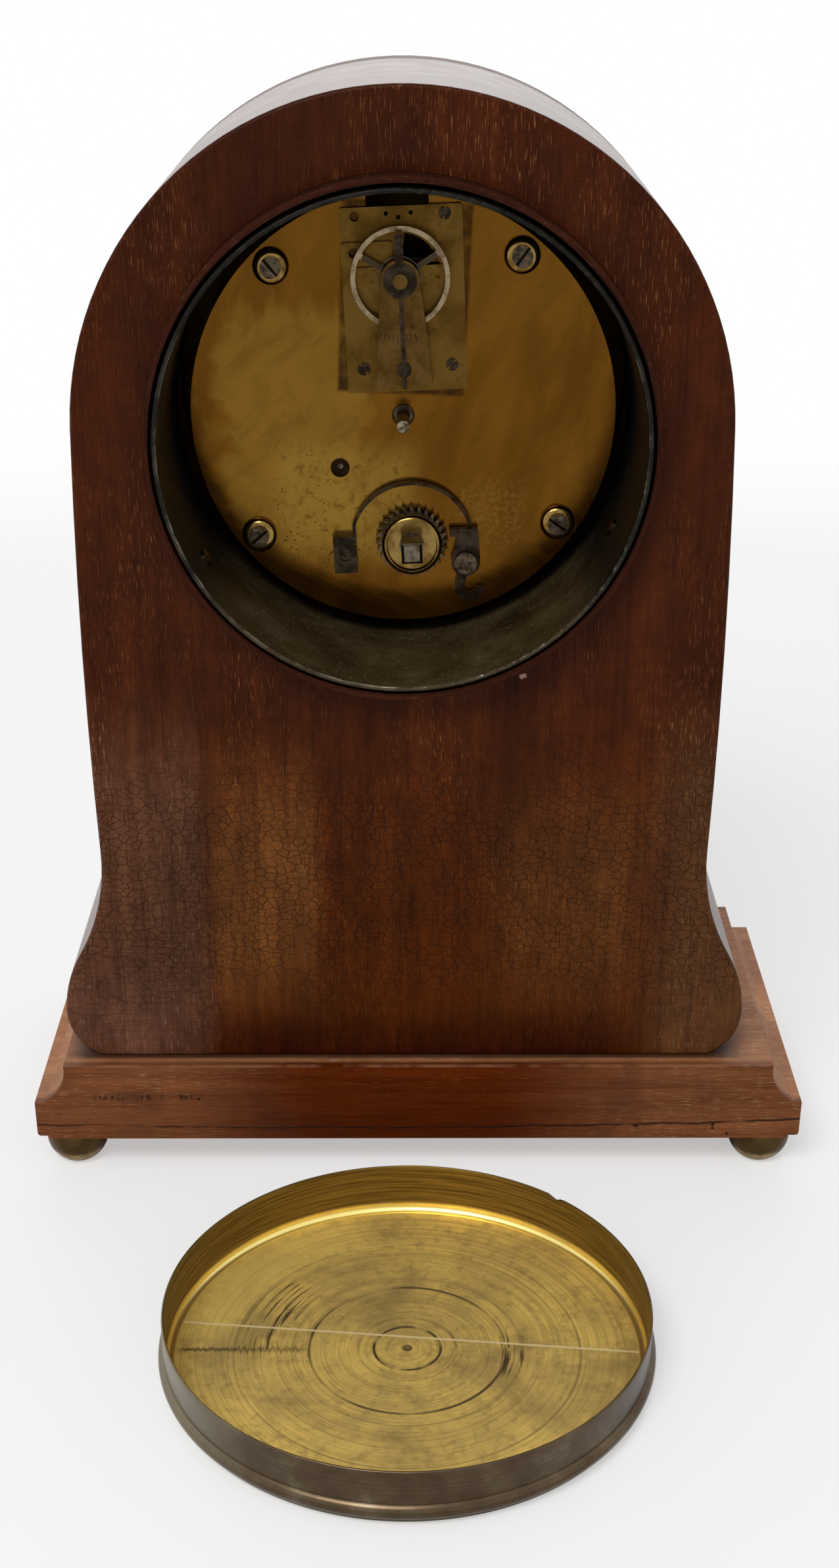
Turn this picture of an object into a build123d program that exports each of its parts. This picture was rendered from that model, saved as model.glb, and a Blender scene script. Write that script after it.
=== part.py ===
from build123d import *
import math
import os

# A round-arched shelf clock with its dust cover taken off and laid behind it.
# Lengths are in millimetres and angles in degrees. +Z is up and the dial faces -Y.
# The case and the movement are drawn as seen from behind: u runs right, v runs up,
# and w runs out of the clock towards the viewer.

# General clearances
overrun = 1.0
running_clearance = 0.04
fixing_clearance = 0.05
parting_gap = 0.3

# Case outline, with heights taken from the case's underside and widths from the arch's radius
hole_rim_width = 12.95
arch_rise = 0.4
side_lean = 2.5
waist_spread = 0.6
waist_height = 45.6
flare_turn_spread = 6.4
flare_turn_height = 22.9
flare_spread = 10.0
flare_height = 10.1
case_foot_spread = 3.5
case_depth = 58.0
case_offset = 2.8
back_board_thickness = 18.0
back_edge_radius = 0.7
front_board_thickness = 7.0
side_wrap_thickness = 4.0
floor_board_thickness = 8.0
floor_board_inset = 5.0
front_hole_margin = 4.6

# Plinth, feet and the screws between plinth and case
plinth_width = 157.0
plinth_depth = 78.2
plinth_back_overhang = 4.3
plinth_slab_height = 8.7
plinth_cove_height = 8.7
plinth_ledge = 2.3
plinth_ledge_rise = 0.5
plinth_cove_width = 4.2
plinth_cove_sag = 1.5
plinth_round = 1.5
foot_radius = 6.35
foot_height = 7.4
foot_base_radius = 3.6
foot_neck_radius = 6.0
foot_bulge_height = 4.6
foot_side_inset = 7.1
foot_end_inset = 6.5
foot_stem_radius = 1.6
foot_stem_length = 6.0
plinth_screw_head_radius = 3.4
plinth_screw_head_height = 1.8
plinth_screw_radius = 1.7
plinth_screw_bite = 5.5
plinth_screw_spacing_x = 80.0
plinth_screw_spacing_y = 20.0

# Sleeve and turned collar in the back board, and the dust cover that slips over the sleeve
sleeve_gap = 3.2
sleeve_wall = 0.9
sleeve_depth = 31.0
sleeve_lip_rise = 5.6
sleeve_lip_round = 0.4
sleeve_pin_radius = 1.0
sleeve_pin_head_radius = 1.6
sleeve_pin_head_height = 0.5
sleeve_pin_length = 4.0
sleeve_pin_depths = (7.5, 12.7)
sleeve_pin_angles = (211.7, 335.0)
hole_collar_wall = 1.1
hole_collar_rise = 5.0
hole_collar_groove_depth = 7.4
hole_collar_slack = 0.15
hole_collar_line_width = 0.35
hole_collar_line_depth = 0.2
hole_collar_line_shares = (0.3, 0.62)
cover_height = 11.2
cover_wall = 0.5
cover_face_thickness = 0.8
cover_sleeve_clearance = 0.05
cover_bead_width = 0.95
cover_bead_half_height = 1.5
cover_edge_radius = 1.2
cover_distance = 63.8
cover_offset = 0.6

# Movement: place in the case, plates and pillars
movement_height = 124.3
movement_turn = 2.4
plate_radius = 39.4
movement_post_length = 13.2
back_plate_thickness = 2.2
front_plate_thickness = 2.0
plate_spacing = 17.0
pillar_radius = 2.4
upper_pillar_shares = (0.5725, 0.70)
lower_pillar_shares = (0.72, -0.54)
collet_radius = 3.3
collet_height = 1.7
collet_round = 1.2
pillar_screw_head_radius = 1.9
pillar_screw_head_height = 1.0
pillar_screw_radius = 1.1
pillar_screw_bite = 5.0
slot_width = 0.5
slot_depth = 0.5
train_line = 0.6
plate_slot_width = 11.2
plate_slot_bottom = 6.0

# Going train: places of the arbors, tooth counts and axial places of the wheels
barrel_v = -23.5
intermediate_u = -12.3
intermediate_v = -9.3
third_u = 14.8
third_v = -1.0
fourth_u = 12.5
fourth_v = 11.5
escape_v = 11.5
barrel_teeth = 60
intermediate_leaves = 12
intermediate_teeth = 70
centre_leaves = 14
centre_teeth = 64
third_leaves = 8
third_teeth = 60
fourth_leaves = 8
fourth_teeth = 70
escape_leaves = 7
wheel_thickness = 1.2
pinion_overhang = 0.4
plate_shake = 0.3
intermediate_wheel_depth = 13.6
centre_wheel_depth = 16.0
third_wheel_depth = 8.0
fourth_wheel_depth = 3.9
arbor_radius = 0.8
pivot_radius = 0.5
escape_arbor_radius = 0.6
pivot_length = 1.4
oil_sink_radius = 1.75
oil_sink_depth = 0.9
spoke_hole_count = 5
spoke_hole_share = 0.38
gap_samples = 16
saw_root_share = 0.12

# Tooth forms, as shares of the module and of the tooth pitch
wheel_addendum_share = 0.95
wheel_dedendum_share = 1.35
wheel_tooth_shares = (0.46, 0.40, 0.12)
pinion_addendum_share = 0.55
pinion_dedendum_share = 1.5
pinion_leaf_shares = (0.22, 0.34, 0.16)

# Barrel, mainspring and winding work
barrel_floor_depth = 3.0
barrel_ring_thickness = 2.0
barrel_height = 10.0
barrel_drum_radius = 14.6
barrel_wall = 1.0
barrel_cover_thickness = 1.0
mainspring_thickness = 0.4
mainspring_gap = 0.5
mainspring_inner_radius = 5.0
mainspring_turns = 8
barrel_core_radius = 3.4
barrel_arbor_radius = 2.4
barrel_front_pivot_radius = 1.8
winding_square = 3.9
winding_square_reach = 10.0
ratchet_teeth = 28
ratchet_radius = 6.9
ratchet_tooth_depth = 1.3
ratchet_rise = 0.4
ratchet_thickness = 1.8
ratchet_collar_radius = 5.7
ratchet_collar_height = 2.7
ratchet_collar_rim_radius = 4.6
ratchet_collar_recess = 0.8
ratchet_collar_round = 0.9

# Click, click screw, click spring and the block that holds the spring
click_u = 10.7
click_v = -27.8
click_thickness = 1.8
click_rise = 0.3
click_boss_radius = 2.8
click_beak_gap = 0.3
click_beak_height = 1.4
click_beak_v = -21.4
click_back_u = 13.2
click_tail_width = 1.7
click_tail_bend = (-1.3, -4.7)
click_tail_foot = (0.6, -7.0)
click_tail_end = (2.6, -5.2)
click_screw_head_radius = 2.1
click_screw_head_height = 1.1
click_screw_radius = 1.0
spring_thickness = 0.55
spring_width = 1.7
spring_radius = 11.6
spring_centre_drop = 0.5
spring_end_gap = 0.45
block_width = 4.4
block_height = 7.0
block_thickness = 2.4
block_left_u = -14.4
block_top_v = -22.0
block_screw_radius = 1.2

# Platform escapement
platform_width = 21.9
platform_height = 32.3
platform_u = 1.1
platform_bottom_v = 4.6
platform_thickness = 1.0
platform_corner_radius = 0.5
platform_screw_places = ((7.8, 30.8), (-7.9, 4.3), (8.3, 4.5))
platform_hole_places = ((-8.2, 30.8), (-8.7, 24.7))
platform_peg_places = ((-2.6, 31.1), (-0.4, 30.4), (1.8, 31.1))
platform_screw_head_radius = 1.1
platform_screw_head_height = 0.5
platform_screw_radius = 0.6
platform_hole_radius = 0.85
platform_peg_radius = 0.4
platform_window_inner_radius = 3.2
platform_window_outer_radius = 7.4
platform_window_start = 12.0
platform_window_sweep = 70.0
escapement_depth = 0.5
escapement_thickness = 0.6
escape_teeth = 15
escape_radius = 4.3
escape_tooth_depth = 1.2
lever_v = 18.3
pallet_gap = 1.15
pallet_angle = 40.0
lever_arm_width = 1.1
lever_hub_radius = 1.2
fork_width = 2.2
fork_notch_width = 0.9
fork_notch_depth = 0.9
roller_radius = 1.6
roller_gap = 0.6
balance_v = 25.0
balance_radius = 8.9
balance_rim_width = 0.85
balance_rim_height = 1.0
balance_rise = 2.7
balance_arm_width = 1.0
balance_hub_radius = 1.5
balance_arms = 3
staff_radius = 0.6
hairspring_thickness = 0.12
hairspring_gap = 0.45
hairspring_width = 0.35
hairspring_inner_radius = 1.9
hairspring_turns = 4
hairspring_rise = 4.1
stud_length = 0.8
bridge_length = 17.2
bridge_width = 3.6
bridge_thickness = 0.8
bridge_hole_radius = 0.5
bridge_hole_reach = 6.7
upper_bridge_width = 9.2
upper_bridge_height = 4.0
upper_bridge_bottom_v = 27.1
cock_foot_half_width = 5.1
cock_waist_half_width = 4.6
cock_neck_half_width = 3.5
cock_foot_bottom_v = 6.5
cock_step_v = 13.0
cock_foot_top = 5.6
cock_underside = 5.0
cock_top = 6.2
cock_head_radius = 3.5
cock_boss_radius = 1.3
cock_boss_height = 0.9
cock_screw_v = 9.4
cock_screw_head_radius = 1.3
cock_screw_head_height = 0.6
cock_screw_radius = 0.7
index_radius = 3.0
index_thickness = 0.5
index_pointer_width = 0.7
index_pointer_length = 18.8
index_tail_width = 1.5
index_tail_length = 8.0
lower_bridge_half_length = 8.6
lower_bridge_bottom_v = 16.3
lower_bridge_top_v = 27.5
lower_bridge_thickness = 0.8
escape_cock_depth = 6.0
escape_cock_thickness = 1.0
escape_cock_left_u = -9.6
escape_cock_foot_width = 3.9
escape_cock_width = 4.0
escape_cock_reach = 2.0
bridge_screw_radius = 0.6
bridge_screw_head_radius = 1.1
bridge_screw_head_height = 0.5

# Centre work and motion work
setting_hole_radius = 1.9
setting_arbor_radius = 0.9
setting_tip_radius = 1.2
setting_tip_reach = 9.0
setting_recess = 1.0
cannon_leaves = 12
minute_teeth = 36
minute_leaves = 10
hour_teeth = 40
minute_u = -6.8
minute_v = 6.8
minute_stud_radius = 0.8
motion_rise = 0.8
motion_wheel_thickness = 1.0
motion_step = 1.0
cannon_radius = 1.6
hour_pipe_wall = 0.75
hand_seat_radius = 1.0

# Front: seat ring, dial, hands, bezel and glass
post_radius = 2.0
post_inset = 2.4
post_count = 4
seat_ring_inner_margin = 4.4
seat_ring_margin = 8.1
seat_ring_thickness = 1.2
seat_screw_margin = 6.4
seat_screw_head_radius = 1.2
seat_screw_head_height = 0.7
seat_screw_radius = 0.7
seat_screw_length = 5.0
dial_margin = 4.6
dial_thickness = 1.2
dial_hole_radius = 3.0
hand_thickness = 0.6
hour_hand_rise = 2.7
minute_hand_rise = 4.7
hour_hand_length = 24.0
minute_hand_length = 37.0
hand_width = 2.6
hand_tip_width = 0.7
hand_eye_radius = 3.3
hand_tail_length = 7.0
hour_hand_angle = 45.0
minute_hand_angle = 150.0
nut_radius = 1.9
nut_height = 1.1
bezel_margin = 12.1
bezel_flange_thickness = 1.4
bezel_wall = 1.3
bezel_seat_height = 6.4
bezel_lip_height = 9.8
bezel_sight_margin = 2.9
bezel_lip_thickness = 0.8
bezel_inner_clearance = 0.2
glass_thickness = 1.5
glass_sag = 4.0
glass_ring_height = 1.5
glass_ring_width = 3.2

# Places worked out from the sizes above
plinth_top = foot_height + plinth_slab_height + plinth_cove_height
sleeve_inner_radius = plate_radius + sleeve_gap
sleeve_outer_radius = sleeve_inner_radius + sleeve_wall
cover_skirt_radius = sleeve_outer_radius + cover_sleeve_clearance + cover_wall
cover_bead_radius = cover_skirt_radius + cover_bead_width
hole_collar_inner_radius = cover_skirt_radius + hole_collar_slack
hole_collar_outer_radius = hole_collar_inner_radius + hole_collar_wall
hole_radius = hole_collar_outer_radius + fixing_clearance
arch_radius = hole_radius + hole_rim_width
arch_centre_height = movement_height + arch_rise
waist_half_width = arch_radius + waist_spread
flare_turn_half_width = arch_radius + flare_turn_spread
flare_half_width = arch_radius + flare_spread
case_foot_half_width = arch_radius + case_foot_spread
front_hole_radius = plate_radius + front_hole_margin
post_circle_radius = plate_radius - post_inset
seat_ring_inner_radius = plate_radius - seat_ring_inner_margin
seat_ring_radius = plate_radius + seat_ring_margin
seat_screw_circle_radius = plate_radius + seat_screw_margin
dial_radius = plate_radius + dial_margin
bezel_radius = plate_radius + bezel_margin
bezel_sight_radius = plate_radius + bezel_sight_margin
movement_stack = back_plate_thickness + plate_spacing + front_plate_thickness
movement_depth = case_depth - movement_stack - movement_post_length
case_back = (plinth_depth - plinth_back_overhang - cover_distance - cover_bead_radius) / 2
plinth_front = case_back + plinth_back_overhang - plinth_depth
plate_front = -back_plate_thickness
front_plate_rear = plate_front - plate_spacing
front_plate_front = front_plate_rear - front_plate_thickness
panel_front = movement_depth - case_depth

BASE = (Align.CENTER, Align.CENTER, Align.MIN)
seen_from_behind = {"x_dir": (-1, 0, 0), "z_dir": (0, 1, 0)}
case_frame = Location(Plane((case_offset, case_back, plinth_top), **seen_from_behind))
sleeve_frame = case_frame * Pos(0, movement_height, 0)
front_frame = sleeve_frame * Pos(0, 0, -movement_depth)
movement = front_frame * Rot(0, 0, movement_turn)

barrel_place = (train_line, barrel_v)
intermediate_place = (intermediate_u, intermediate_v)
centre_place = (0, 0)
third_place = (third_u, third_v)
fourth_place = (fourth_u, fourth_v)
escape_place = (train_line, escape_v)
lever_place = (train_line, lever_v)
balance_place = (train_line, balance_v)
minute_place = (minute_u, minute_v)
pillar_places = [(side * across * plate_radius, along * plate_radius)
                 for across, along in (upper_pillar_shares, lower_pillar_shares) for side in (-1, 1)]

nodes = {}


def post(radius, low, high, place=(0, 0)):
    """Round post along w from low to high."""
    return Pos(place[0], place[1], low) * Cylinder(radius, high - low, align=BASE)


def tube(outer, inner, low, high, place=(0, 0)):
    """Round tube along w from low to high."""
    return post(outer, low, high, place) - post(inner, low - overrun, high + overrun, place)


def slab(face, low, high):
    """Flat piece with the given outline, from low to high along w."""
    return Pos(0, 0, low) * extrude(face, amount=high - low, dir=(0, 0, 1))


def turned(*edges):
    """Solid turned about w from an outline drawn as radius and height."""
    return revolve(Plane.XZ * make_face(Curve() + list(edges)), Axis.Z)


def group(pieces):
    """Separate solids kept together in one node."""
    return Compound(children=[solid for piece in pieces for solid in piece.solids()])


def around(place, angle, radius):
    """Point at an angle and a distance from a place."""
    turn = math.radians(angle)
    return (place[0] + radius * math.cos(turn), place[1] + radius * math.sin(turn))


def bearing(start, end):
    """Direction from one place to another, in degrees."""
    return math.degrees(math.atan2(end[1] - start[1], end[0] - start[0]))


def slotted_screw(head_radius, head_height, shank_radius, shank_length, low, place):
    """Screw along w with its head standing on the height low, and a slot across the head."""
    head = post(head_radius, low, low + head_height, place)
    shank = post(shank_radius, low - shank_length, low, place)
    cut = Box(2 * head_radius + overrun, slot_width, slot_depth, align=BASE)
    turn = Rot(0, 0, bearing((0, 0), place))
    return head + shank - Pos(place[0], place[1], low + head_height - slot_depth) * turn * cut


def toothed_face(teeth, pitch_radius, addendum, dedendum, shares, phase):
    """Outline of a toothed wheel. shares are the tooth's widths at its root, pitch and tip."""
    pitch = 360 / teeth
    radii = (pitch_radius - dedendum, pitch_radius, pitch_radius + addendum)
    points = []
    for tooth in range(teeth):
        middle = phase + tooth * pitch
        for radius, share in zip(radii, shares):
            points.append(around((0, 0), middle - share * pitch / 2, radius))
        for radius, share in zip(reversed(radii), reversed(shares)):
            points.append(around((0, 0), middle + share * pitch / 2, radius))
    return make_face(Polyline(*points, close=True))


def saw_face(teeth, tip_radius, depth, hand):
    """Outline of a wheel with saw teeth. hand is 1 where the steep side faces anticlockwise."""
    pitch = 360 / teeth
    points = []
    for tooth in range(teeth):
        points.append(around((0, 0), tooth * pitch, tip_radius))
        points.append(around((0, 0), tooth * pitch + hand * saw_root_share * pitch, tip_radius - depth))
    if hand < 0:
        points.reverse()
    return make_face(Polyline(*points, close=True))


def meshed_phase(angle, teeth, phase, other_teeth):
    """Phase of the second wheel of a pair, whose gap meets the first wheel's tooth."""
    passed = (angle - phase) * teeth / 360
    return angle + 180 - (0.5 - passed) * 360 / other_teeth


def spiral_face(inner_radius, step, turns, thickness):
    """Outline of a flat spiral strip made of half circles, from its inner end outwards."""
    def half_circles(shift):
        arcs = []
        for half in range(2 * turns):
            side = 1 if half % 2 == 0 else -1
            centre = -side * step / 4 + step / 4
            radius = inner_radius + half * step / 2 + shift
            start = (centre + side * radius, 0)
            end = (centre - side * radius, 0)
            arcs.append(ThreePointArc(start, (centre, side * radius), end))
        return arcs
    outer = half_circles(thickness / 2)
    inner = half_circles(-thickness / 2)
    caps = [Line(outer[0] @ 0, inner[0] @ 0), Line(outer[-1] @ 1, inner[-1] @ 1)]
    return make_face(Curve() + outer + inner + caps), outer, inner


def case_outline():
    """Outline of the case, its underside on the u axis."""
    lean = math.radians(side_lean)
    shoulder = around((0, arch_centre_height), side_lean, arch_radius)
    far_shoulder = (-shoulder[0], shoulder[1])
    crown = (0, arch_centre_height + arch_radius)
    foot = (case_foot_half_width, 0)
    side = TangentArc(shoulder, (waist_half_width, waist_height), tangent=(math.sin(lean), -math.cos(lean)))
    hollow = TangentArc(side @ 1, (flare_turn_half_width, flare_turn_height), tangent=side % 1)
    swell = TangentArc(hollow @ 1, (flare_half_width, flare_height), tangent=hollow % 1)
    under = TangentArc(swell @ 1, foot, tangent=swell % 1)
    half = [side, hollow, swell, under]
    other_half = [mirror(edge, about=Plane.YZ) for edge in half]
    closing = [ThreePointArc(far_shoulder, crown, shoulder), Line(foot, (-foot[0], 0))]
    return make_face(Curve() + half + other_half + closing)


def build_case():
    """Boards, bent side and floor of the wooden case."""
    outline = case_outline()
    hole = (0, movement_height)
    back = slab(outline, -back_board_thickness, 0)
    rear_rim = back.faces().sort_by(Axis.Z)[-1].edges()
    back = fillet(rear_rim, back_edge_radius)
    back -= post(hole_radius, -back_board_thickness - overrun, overrun, hole)
    for pin in sleeve_pins(fixing_clearance):
        back -= Pos(0, movement_height, 0) * pin
    nodes["case_back_panel"] = case_frame * back

    front_rear = front_board_thickness - case_depth
    front = slab(outline, -case_depth, front_rear)
    front -= post(front_hole_radius, -case_depth - overrun, front_rear + overrun, hole)
    for angle in seat_screw_angles():
        place = around(hole, angle, seat_screw_circle_radius)
        front -= post(seat_screw_radius, -case_depth - overrun, seat_screw_length - case_depth, place)
    nodes["case_front_panel"] = case_frame * front

    ring = outline - offset(outline, amount=-side_wrap_thickness)
    wrap = slab(ring, front_rear, -back_board_thickness)
    floor_half_width = case_foot_half_width - floor_board_inset
    floor_board = Pos(0, floor_board_thickness / 2) * Rectangle(2 * floor_half_width, floor_board_thickness)
    floor = slab(floor_board, front_rear, -back_board_thickness)
    nodes["case_side_wrap"] = case_frame * (wrap - floor)
    floor = case_frame * floor
    for screw in plinth_screws():
        floor -= screw
    nodes["case_floor"] = floor


def plinth_screws():
    """Wood screws that hold the case to the plinth from below."""
    middle = case_back - (back_board_thickness + case_depth - front_board_thickness) / 2
    length = plinth_top - foot_height - plinth_screw_head_height + plinth_screw_bite
    screws = []
    for x in (-1, 1):
        for y in (-1, 1):
            head = Cylinder(plinth_screw_head_radius, plinth_screw_head_height, align=BASE)
            shank = Pos(0, 0, plinth_screw_head_height) * Cylinder(plinth_screw_radius, length, align=BASE)
            slot = Box(2 * plinth_screw_head_radius + overrun, slot_width, slot_depth, align=BASE)
            place = Pos(case_offset + x * plinth_screw_spacing_x / 2, middle + y * plinth_screw_spacing_y / 2,
                        foot_height)
            screws.append(place * (head + shank - slot))
    return screws


def cove(reach, sides):
    """Section of the plinth's moulded upper part; sides lists the ends, -1 or 1, that are coved."""
    ledge_top = plinth_slab_height + plinth_ledge_rise
    top = plinth_slab_height + plinth_cove_height
    ends = {side: side * (reach - plinth_ledge if side in sides else reach) for side in (-1, 1)}
    tops = {side: ends[side] - side * (plinth_cove_width if side in sides else 0) for side in (-1, 1)}
    edges = [Line((ends[-1], 0), (ends[1], 0)), Line((tops[1], top), (tops[-1], top))]
    for side in (-1, 1):
        if side in sides:
            middle = ((ends[side] + tops[side]) / 2 - side * plinth_cove_sag, (ledge_top + top) / 2)
            edges.append(Line((ends[side], 0), (ends[side], ledge_top)))
            edges.append(ThreePointArc((ends[side], ledge_top), middle, (tops[side], top)))
        else:
            edges.append(Line((ends[side], 0), (tops[side], top)))
    return make_face(Curve() + edges)


def foot_places():
    """Names and places of the four feet; left and right are as seen from the front."""
    x = plinth_width / 2 - foot_side_inset
    rear = plinth_front + plinth_depth - foot_end_inset
    front = plinth_front + foot_end_inset
    return {"foot_rear_left": (-x, rear), "foot_rear_right": (x, rear),
            "foot_front_left": (-x, front), "foot_front_right": (x, front)}


def build_plinth():
    """Moulded base board, its screws and its four bun feet."""
    middle = plinth_front + plinth_depth / 2
    base = Pos(0, middle, foot_height)
    slab_part = Box(plinth_width, plinth_depth, plinth_slab_height, align=BASE)
    slab_part = fillet(slab_part.faces().sort_by(Axis.Z)[0].edges(), plinth_round)
    lengthwise = extrude(Plane.XZ * cove(plinth_width / 2, (-1, 1)), amount=plinth_depth / 2, both=True)
    crosswise = extrude(Plane.YZ * cove(plinth_depth / 2, (-1,)), amount=plinth_width / 2, both=True)
    board = base * (slab_part + (lengthwise & crosswise))
    screws = plinth_screws()
    for screw in screws:
        board -= screw
    for name, place in foot_places().items():
        hole_top = foot_height + foot_stem_length + fixing_clearance
        board -= post(foot_stem_radius + fixing_clearance, foot_height - overrun, hole_top, place)
        base_edge = (foot_base_radius, 0)
        neck = (foot_neck_radius, foot_height)
        bun = turned(
            Line((0, 0), base_edge),
            ThreePointArc(base_edge, (foot_radius, foot_bulge_height), neck),
            Line(neck, (0, foot_height)),
            Line((0, foot_height), (0, 0)))
        stem = post(foot_stem_radius, foot_height, foot_height + foot_stem_length)
        nodes[name] = Pos(place[0], place[1], 0) * (bun + stem)
    nodes["plinth"] = board
    nodes["plinth_screws"] = group(screws)


def sleeve_pins(clearance):
    """Pins through the sleeve's wall into the back board, with their heads inside the sleeve."""
    inner = sleeve_inner_radius - sleeve_pin_head_height
    head = Cylinder(sleeve_pin_head_radius, sleeve_pin_head_height + sleeve_wall / 2, align=BASE)
    shank = Cylinder(sleeve_pin_radius + clearance, sleeve_wall + sleeve_pin_length + clearance, align=BASE)
    pin = Pos(inner, 0, 0) * Rot(0, 90, 0) * (head + Pos(0, 0, sleeve_pin_head_height) * shank)
    places = zip(sleeve_pin_angles, sleeve_pin_depths)
    return [Pos(0, 0, -depth) * Rot(0, 0, angle) * pin for angle, depth in places]


def build_sleeve():
    """Brass lining of the hole, its two pins and the turned wooden collar around it."""
    lining = tube(sleeve_outer_radius, sleeve_inner_radius, -sleeve_depth, sleeve_lip_rise)
    lining = fillet(lining.faces().sort_by(Axis.Z)[-1].edges(), sleeve_lip_round)
    bore = sleeve_outer_radius + fixing_clearance
    ring = tube(hole_collar_outer_radius, bore, -back_board_thickness, hole_collar_rise)
    groove_floor = hole_collar_rise - hole_collar_groove_depth
    ring -= post(hole_collar_inner_radius, groove_floor, hole_collar_rise + overrun)
    for share in hole_collar_line_shares:
        low = share * hole_collar_rise
        floor_radius = hole_collar_outer_radius - hole_collar_line_depth
        ring -= tube(hole_collar_outer_radius + overrun, floor_radius, low, low + hole_collar_line_width)
    pins = sleeve_pins(0)
    for pin in pins:
        lining -= pin
    for hole in sleeve_pins(fixing_clearance):
        ring -= hole
    nodes["case_sleeve"] = sleeve_frame * lining
    nodes["hole_collar"] = sleeve_frame * ring
    nodes["sleeve_pins"] = sleeve_frame * group(pins)


def build_cover():
    """Spun dust cover lying open side up behind the clock."""
    bead_top = cover_edge_radius + 2 * cover_bead_half_height
    bead_middle = cover_edge_radius + cover_bead_half_height
    inner = cover_skirt_radius - cover_wall
    corner = inner - cover_edge_radius
    corner_top = cover_face_thickness + cover_edge_radius
    bend = cover_edge_radius * (1 - math.sqrt(0.5))
    pan = turned(
        Line((0, 0), (cover_skirt_radius - cover_edge_radius, 0)),
        RadiusArc((cover_skirt_radius - cover_edge_radius, 0), (cover_skirt_radius, cover_edge_radius),
                  -cover_edge_radius),
        ThreePointArc((cover_skirt_radius, cover_edge_radius), (cover_bead_radius, bead_middle),
                      (cover_skirt_radius, bead_top)),
        Line((cover_skirt_radius, bead_top), (cover_skirt_radius, cover_height)),
        Line((cover_skirt_radius, cover_height), (inner, cover_height)),
        Line((inner, cover_height), (inner, corner_top)),
        ThreePointArc((inner, corner_top), (inner - bend, cover_face_thickness + bend),
                      (corner, cover_face_thickness)),
        Line((corner, cover_face_thickness), (0, cover_face_thickness)),
        Line((0, cover_face_thickness), (0, 0)))
    nodes["back_cover"] = Pos(case_offset - cover_offset, case_back + cover_distance, 0) * pan


def wheel_pair(start, end, teeth, leaves):
    """Pitch radii of a wheel and the pinion that it meshes with, and their module."""
    distance = math.dist(start, end)
    module = 2 * distance / (teeth + leaves)
    return teeth * module / 2, leaves * module / 2, module


def wheel(teeth, pitch_radius, module, bore, low, thickness, place, phase):
    """Toothed brass wheel with a ring of round holes between rim and boss."""
    face = toothed_face(teeth, pitch_radius, wheel_addendum_share * module, wheel_dedendum_share * module,
                        wheel_tooth_shares, phase)
    face -= Circle(bore)
    rim = pitch_radius - (wheel_dedendum_share + 2) * module
    boss = bore + 2 * arbor_radius
    for hole in range(spoke_hole_count):
        angle = 360 * hole / spoke_hole_count
        face -= Pos(*around((0, 0), angle, (rim + boss) / 2)) * Circle(spoke_hole_share * (rim - boss))
    return Pos(place[0], place[1], 0) * slab(face, low, low + thickness)


def pinion(leaves, pitch_radius, module, low, high, place, phase):
    """Steel pinion with straight-sided leaves."""
    face = toothed_face(leaves, pitch_radius, pinion_addendum_share * module, pinion_dedendum_share * module,
                        pinion_leaf_shares, phase)
    return Pos(place[0], place[1], 0) * slab(face, low, high)


def plate_arbor(place, front, rear):
    """Arbor between the plates with a thinner pivot at each end."""
    body = post(arbor_radius, front, rear, place)
    return body + post(pivot_radius, front - pivot_length, rear + pivot_length, place)


def train():
    """Pitch radii, modules and phases of the going train, keyed by the wheel that drives."""
    pairs = {
        "barrel": (barrel_place, intermediate_place, barrel_teeth, intermediate_leaves),
        "intermediate": (intermediate_place, centre_place, intermediate_teeth, centre_leaves),
        "centre": (centre_place, third_place, centre_teeth, third_leaves),
        "third": (third_place, fourth_place, third_teeth, fourth_leaves),
        "fourth": (fourth_place, escape_place, fourth_teeth, escape_leaves)}
    meshes = {}
    for name, (start, end, teeth, leaves) in pairs.items():
        big, small, module = wheel_pair(start, end, teeth, leaves)
        phase = meshed_phase(bearing(start, end), teeth, 0, leaves)
        meshes[name] = {"teeth": teeth, "leaves": leaves, "big": big, "small": small, "module": module,
                        "phase": phase}
    return meshes


def driven_pinion(mesh, wheel_depth, thickness, place):
    """Pinion that overhangs the wheel which drives it at both sides."""
    low = -wheel_depth - thickness - pinion_overhang
    return pinion(mesh["leaves"], mesh["small"], mesh["module"], low, pinion_overhang - wheel_depth, place,
                  mesh["phase"])


def driving_wheel(mesh, bore, wheel_depth, place):
    """Wheel whose rear face lies wheel_depth in front of the back plate's rear face."""
    return wheel(mesh["teeth"], mesh["big"], mesh["module"], bore, -wheel_depth - wheel_thickness,
                 wheel_thickness, place, 0)


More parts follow.
